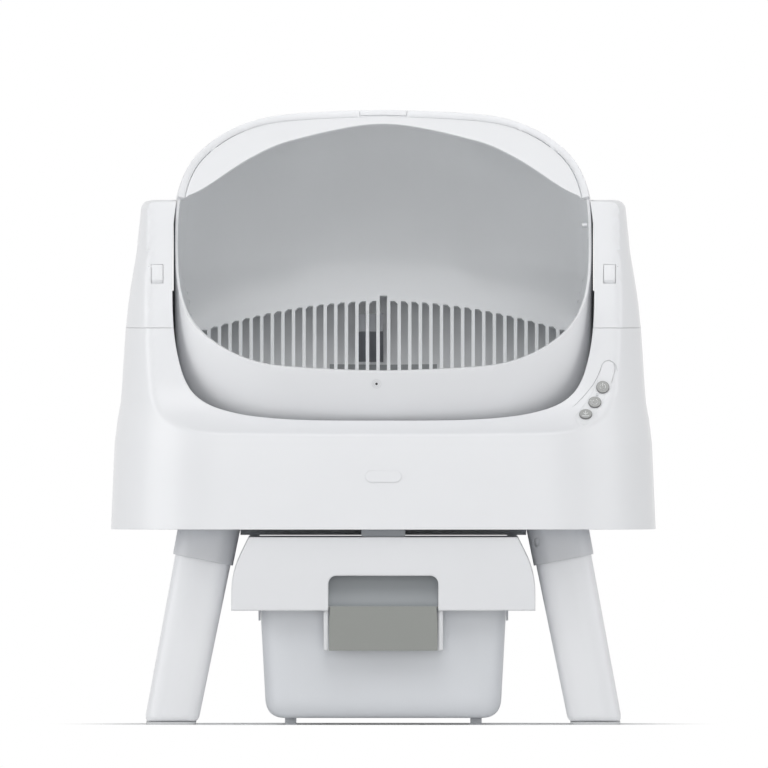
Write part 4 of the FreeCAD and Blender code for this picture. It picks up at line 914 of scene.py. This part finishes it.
# Controls: three grey push buttons with raised plain symbols and a tiny lamp, on a thin white
# overlay glued to the right-hand corner of the saddle over the board. The fine groove round the
# overlay is drawn, along its upper and left edge, as a thin grey line standing just proud of the
# saddle: painted shade for the groove.
PAD_ARC = ((0.2355, 0.374), (0.2236, 0.3415), (0.2095, 0.3225))
PAD_HALF, PAD_STAND, PAD_SUNK, PAD_WALL = 0.0082, 0.00012, -0.00015, 0.0004
GROOVE_LINE = ((0.2455, 0.3715), (0.2444, 0.377), (0.2412, 0.3806), (0.2370, 0.3827),
               (0.2328, 0.3816), (0.2296, 0.378), (0.2275, 0.3717), (0.2244, 0.3643),
               (0.2202, 0.357), (0.2149, 0.3502), (0.2086, 0.3428), (0.2023, 0.3365),
               (0.1981, 0.3334))
GROOVE_RADIUS, GROOVE_STAND = 0.00028, 0.0001
BUTTON_STAND, BUTTON_DEEP, BUTTON_ROUND, FLAT_TOP = 0.0024, 0.0052, 0.0009, 0.93
ICON_LINE, ICON_RISE, ICON_SCALE = 0.0009, 0.0004, 1.55
SYMBOLS = {
    "power_button": [[(0.0019 * math.sin(a), 0.0019 * math.cos(a))
                      for a in in_steps(0.6, 2 * math.pi - 0.6, 14)],
                     [(0, 0.0006), (0, 0.0027)]],
    "clean_button": [[(0.0021 * math.sin(a), 0.0021 * math.cos(a)) for a in in_steps(0.5, 5.0, 12)],
                     [(-0.0028, 0.0012), (-0.0020, 0.0002), (-0.0008, 0.0010)]],
    "level_button": [[(0, 0.0024), (0, -0.0008)],
                     [(-0.0014, 0.0006), (0, -0.0009), (0.0014, 0.0006)],
                     [(-0.0022, -0.0022), (0.0022, -0.0022)]],
}
button_grey = plastic("button_grey", (0.37, 0.375, 0.37), 0.4)
button_side_painted_shade = plastic("button_side_painted_shade", (0.17, 0.172, 0.17), 0.4)
icon_white = plastic("icon_white", (0.72, 0.73, 0.73), 0.4)
lamp_clear = plastic("lamp_clear", (0.60, 0.62, 0.64), 0.15)
board_green = plastic("board_green", (0.03, 0.13, 0.06), 0.5)
pad_groove_painted_shade = plastic("pad_groove_painted_shade", (0.42, 0.43, 0.45), 0.5)
(ax, az), (bx, bz), (cx, cz) = PAD_ARC
turn = 2 * (ax * (bz - cz) + bx * (cz - az) + cx * (az - bz))
squares = [x * x + z * z for x, z in PAD_ARC]
arc_x = (squares[0] * (bz - cz) + squares[1] * (cz - az) + squares[2] * (az - bz)) / turn
arc_z = (squares[0] * (cx - bx) + squares[1] * (ax - cx) + squares[2] * (bx - ax)) / turn
arc_radius = math.hypot(ax - arc_x, az - arc_z)
swing_top, swing_low = math.atan2(az - arc_z, ax - arc_x), math.atan2(cz - arc_z, cx - arc_x)
if swing_low > swing_top:
    swing_low -= 2 * math.pi
pad_long = arc_radius * (swing_top - swing_low)


def on_pad(far, across, stand):
    """Point on the saddle at a length along the pad's arc and a distance across it."""
    swing = swing_top - far / arc_radius
    x = arc_x + (arc_radius + across) * math.cos(swing)
    z = arc_z + (arc_radius + across) * math.sin(swing)
    spot, out = saddle_place(x, z)
    return spot + out * stand


def pad_edge(share):
    """Half width of the pad at a share of its whole length, with round ends."""
    far = share * (pad_long + 2 * PAD_HALF) - PAD_HALF
    past = max(-far, far - pad_long, 0.0)
    return far, math.sqrt(max(PAD_HALF ** 2 - past ** 2, 0.0))


mesh = bmesh.new()
bmesh.ops.create_grid(mesh, x_segments=60, y_segments=10, size=1)
for vert in mesh.verts:
    share = 0.5 - 0.5 * math.cos(math.pi * (vert.co.x + 1) / 2)
    far, half = pad_edge(share)
    stand = PAD_STAND if abs(vert.co.y) < 0.99 and 0.001 < share < 0.999 else PAD_SUNK
    vert.co = on_pad(far, vert.co.y * half, stand)
facing(mesh, lambda face: -face.normal.y)
bmesh.ops.remove_doubles(mesh, verts=mesh.verts, dist=1e-6)
pad = walled(finished(mesh, "control_pad_overlay", 60), PAD_WALL)
placed(pad, shell_white, "base", "white_shell", "control_pad")

# Painted shade: a thin grey tube laid along the groove's line stands for the shade in the groove.
mesh = bmesh.new()
rings = []
for i, (x, z) in enumerate(GROOVE_LINE):
    spot, out = saddle_place(x, z)
    size = GROOVE_RADIUS * math.sin(math.pi * (i + 0.6) / (len(GROOVE_LINE) + 0.2)) ** 0.5
    ring = bmesh.ops.create_circle(mesh, segments=6, radius=size)["verts"]
    ahead, back = GROOVE_LINE[min(i + 1, len(GROOVE_LINE) - 1)], GROOVE_LINE[max(i - 1, 0)]
    along = Vector((ahead[0] - back[0], 0, ahead[1] - back[1]))
    bmesh.ops.transform(mesh, verts=ring, matrix=Matrix.Translation(spot + out * GROOVE_STAND)
                        @ along.to_track_quat("Z", "Y").to_matrix().to_4x4())
    rings.append(list({edge for vert in ring for edge in vert.link_edges}))
for before, after in zip(rings, rings[1:]):
    bmesh.ops.bridge_loops(mesh, edges=before + after)
for ring in (rings[0], rings[-1]):
    bmesh.ops.contextual_create(mesh, geom=ring)
bmesh.ops.recalc_face_normals(mesh, faces=mesh.faces)
placed(finished(mesh, "control_pad_groove"), pad_groove_painted_shade, "base", "white_shell")

for key, (x, z) in BUTTON_PLACES.items():
    spot, _ = saddle_place(x, z)
    on_saddle = Matrix.Translation(spot) @ Matrix.Rotation(saddle_lean(z), 4, "X")
    mesh = bmesh.new()
    cap = bmesh.ops.create_cone(mesh, cap_ends=True, segments=64, radius1=BUTTON_RADIUS,
                                radius2=BUTTON_RADIUS, depth=BUTTON_STAND + BUTTON_DEEP)["verts"]
    bmesh.ops.translate(mesh, vec=(0, 0, (BUTTON_STAND - BUTTON_DEEP) / 2), verts=cap)
    rim = [e for e in mesh.edges if all(v.co.z > 0 for v in e.verts)]
    rounded_off(mesh, rim, BUTTON_ROUND, 4)
    # Painted shade: the caps' sides and edge rounding take a near-black grey that stands for the
    # shade on their side walls; the tops keep the button grey.
    for part in mesh.faces:
        part.material_index = 2 if part.normal.z < FLAT_TOP else 0
    for stroke in SYMBOLS[key]:
        stroke = [(u * ICON_SCALE, v * ICON_SCALE) for u, v in stroke]
        for (u0, v0), (u1, v1) in zip(stroke, stroke[1:]):
            length = math.hypot(u1 - u0, v1 - v0)
            bar = bmesh.ops.create_cube(mesh, size=1)["verts"]
            bmesh.ops.scale(mesh, vec=(length + ICON_LINE * 0.5, ICON_LINE, ICON_RISE), verts=bar)
            place = Matrix.Translation(((u0 + u1) / 2, (v0 + v1) / 2, BUTTON_STAND))
            swing = Matrix.Rotation(math.atan2(v1 - v0, u1 - u0), 4, "Z")
            bmesh.ops.transform(mesh, verts=bar, matrix=place @ swing)
            for part in {f for v in bar for f in v.link_faces}:
                part.material_index = 1
    bmesh.ops.transform(mesh, matrix=on_saddle, verts=mesh.verts)
    placed(finished(mesh, key + "_cap"), (button_grey, icon_white, button_side_painted_shade), key, "button_grey",
           key)
dress(lamp_clear, "status_light")
dress(board_green, "control_board")

# Badge: a blank pill-shaped plate of white plastic with a fine grey edge, glued to the middle of
# the front wall and following its slight bow. It bears no lettering.
BADGE_HALF_X, BADGE_HALF_Z, BADGE_Z = 0.019, 0.0063, 0.2609
BADGE_EDGE, BADGE_STAND, BADGE_SUNK, BADGE_DEEP = 0.0007, 0.0007, 0.0006, 0.001
mesh = bmesh.new()
outline = bmesh.ops.create_circle(mesh, segments=64, radius=BADGE_HALF_Z, cap_ends=True,
                                  matrix=Matrix.Rotation(math.pi / 2, 4, "X"))["verts"]
for vert in outline:
    if abs(vert.co.x) > 1e-6:
        vert.co.x += math.copysign(BADGE_HALF_X - BADGE_HALF_Z, vert.co.x)
inset = bmesh.ops.inset_region(mesh, faces=mesh.faces[:], thickness=BADGE_EDGE, depth=0)
for part in inset["faces"]:
    part.material_index = 1
skin = bmesh.ops.extrude_face_region(mesh, geom=mesh.faces[:])["geom"]
bmesh.ops.translate(mesh, vec=(0, -BADGE_DEEP, 0), verts=picked(bmesh.types.BMVert, skin))
for vert in mesh.verts:
    wall_y = -between(HALF_DEPTHS, BADGE_Z + vert.co.z) + vert.co.x ** 2 / (2 * FRONT_BOW)
    vert.co.y = wall_y + (BADGE_SUNK if vert.co.y > -BADGE_DEEP / 2 else -BADGE_STAND)
    vert.co.z += BADGE_Z
bmesh.ops.recalc_face_normals(mesh, faces=mesh.faces)
badge_edge = plastic("badge_edge_grey", (0.50, 0.51, 0.53), 0.4)
placed(finished(mesh, "badge_pill"), (shell_white, badge_edge), "base", "white_shell",
       "badge_plate")

# Stage: a pale floor that keeps the shadow and turns plain white away from the object, a white
# backdrop, a large softbox over the camera and three weaker ones, and a level square camera.
FLOOR_NEAR, FLOOR_FAR, AMBIENT = 0.26, 0.36, 0.36
CAMERA_TILT, CAMERA_DISTANCE, CAMERA_X, CAMERA_Z = math.radians(0.25), 4.0, 0.0007, 0.357
VIEW_WIDTH = 0.8064
STUDIO_LIGHTS = (("key_light", (0, -1.7, 2.6), 0.35, 2.0, 27),
                 ("front_light", (0, -5.0, 0.6), 0.4, 3.0, 38),
                 ("left_light", (-2.6, -1.0, 1.0), 0.38, 1.8, 24),
                 ("right_light", (2.6, -1.0, 1.0), 0.38, 1.8, 16))


def seen_directly(tree):
    """Output that is 1 where the camera or a reflection looks at the surface, else 0."""
    path = added(tree, "ShaderNodeLightPath")
    seen = added(tree, "ShaderNodeMath", operation="MAXIMUM")
    wired(tree, (path.outputs["Is Camera Ray"], seen.inputs[0]),
          (path.outputs["Is Glossy Ray"], seen.inputs[1]))
    return seen.outputs[0]


mesh = bmesh.new()
bmesh.ops.create_grid(mesh, x_segments=1, y_segments=1, size=3.0)
floor = finished(mesh, "floor")
floor_paint = bpy.data.materials.new("floor_paint")
floor_paint.use_nodes = True
tree = floor_paint.node_tree
paint = tree.nodes["Principled BSDF"]
paint.inputs["Base Color"].default_value = (0.96, 0.96, 0.96, 1)
paint.inputs["Roughness"].default_value = 0.9
glow = added(tree, "ShaderNodeEmission", {"Color": (1, 1, 1, 1), "Strength": 1.0})
place = added(tree, "ShaderNodeTexCoord")
length = added(tree, "ShaderNodeVectorMath", operation="LENGTH")
spread = added(tree, "ShaderNodeMapRange", {"From Min": FLOOR_NEAR, "From Max": FLOOR_FAR},
               interpolation_type="SMOOTHSTEP")
share = added(tree, "ShaderNodeMath", operation="MULTIPLY")
blend = added(tree, "ShaderNodeMixShader")
wired(tree, (place.outputs["Object"], length.inputs[0]),
      (length.outputs["Value"], spread.inputs["Value"]),
      (seen_directly(tree), share.inputs[0]), (spread.outputs["Result"], share.inputs[1]),
      (share.outputs[0], blend.inputs[0]), (paint.outputs[0], blend.inputs[1]),
      (glow.outputs[0], blend.inputs[2]),
      (blend.outputs[0], tree.nodes["Material Output"].inputs["Surface"]))
floor.data.materials.append(floor_paint)

world = bpy.data.worlds.new("studio")
bpy.context.scene.world = world
world.use_nodes = True
tree = world.node_tree
tree.nodes.clear()
strength = added(tree, "ShaderNodeMapRange", {"To Min": AMBIENT, "To Max": 1.0})
background = added(tree, "ShaderNodeBackground", {"Color": (1, 1, 1, 1)})
output = added(tree, "ShaderNodeOutputWorld")
wired(tree, (seen_directly(tree), strength.inputs["Value"]),
      (strength.outputs["Result"], background.inputs["Strength"]),
      (background.outputs["Background"], output.inputs["Surface"]))

for name, place, aim_z, size, power in STUDIO_LIGHTS:
    light = bpy.data.lights.new(name, "AREA")
    light.shape = "SQUARE"
    light.size = size
    light.energy = power
    lamp = bpy.data.objects.new(name, light)
    bpy.context.scene.collection.objects.link(lamp)
    lamp.location = place
    lamp.rotation_mode = "QUATERNION"
    aim = Vector((0, 0, aim_z)) - Vector(place)
    lamp.rotation_quaternion = aim.to_track_quat("-Z", "Y")

camera_data = bpy.data.cameras.new("camera")
camera_data.type = "ORTHO"
camera_data.ortho_scale = VIEW_WIDTH
camera_data.clip_end = 50
camera = bpy.data.objects.new("camera", camera_data)
bpy.context.scene.collection.objects.link(camera)
camera.location = (CAMERA_X, -CAMERA_DISTANCE, CAMERA_Z + CAMERA_DISTANCE * math.tan(CAMERA_TILT))
camera.rotation_euler = (math.pi / 2 - CAMERA_TILT, 0, 0)
bpy.context.scene.camera = camera
bpy.context.scene.view_settings.view_transform = "Standard"
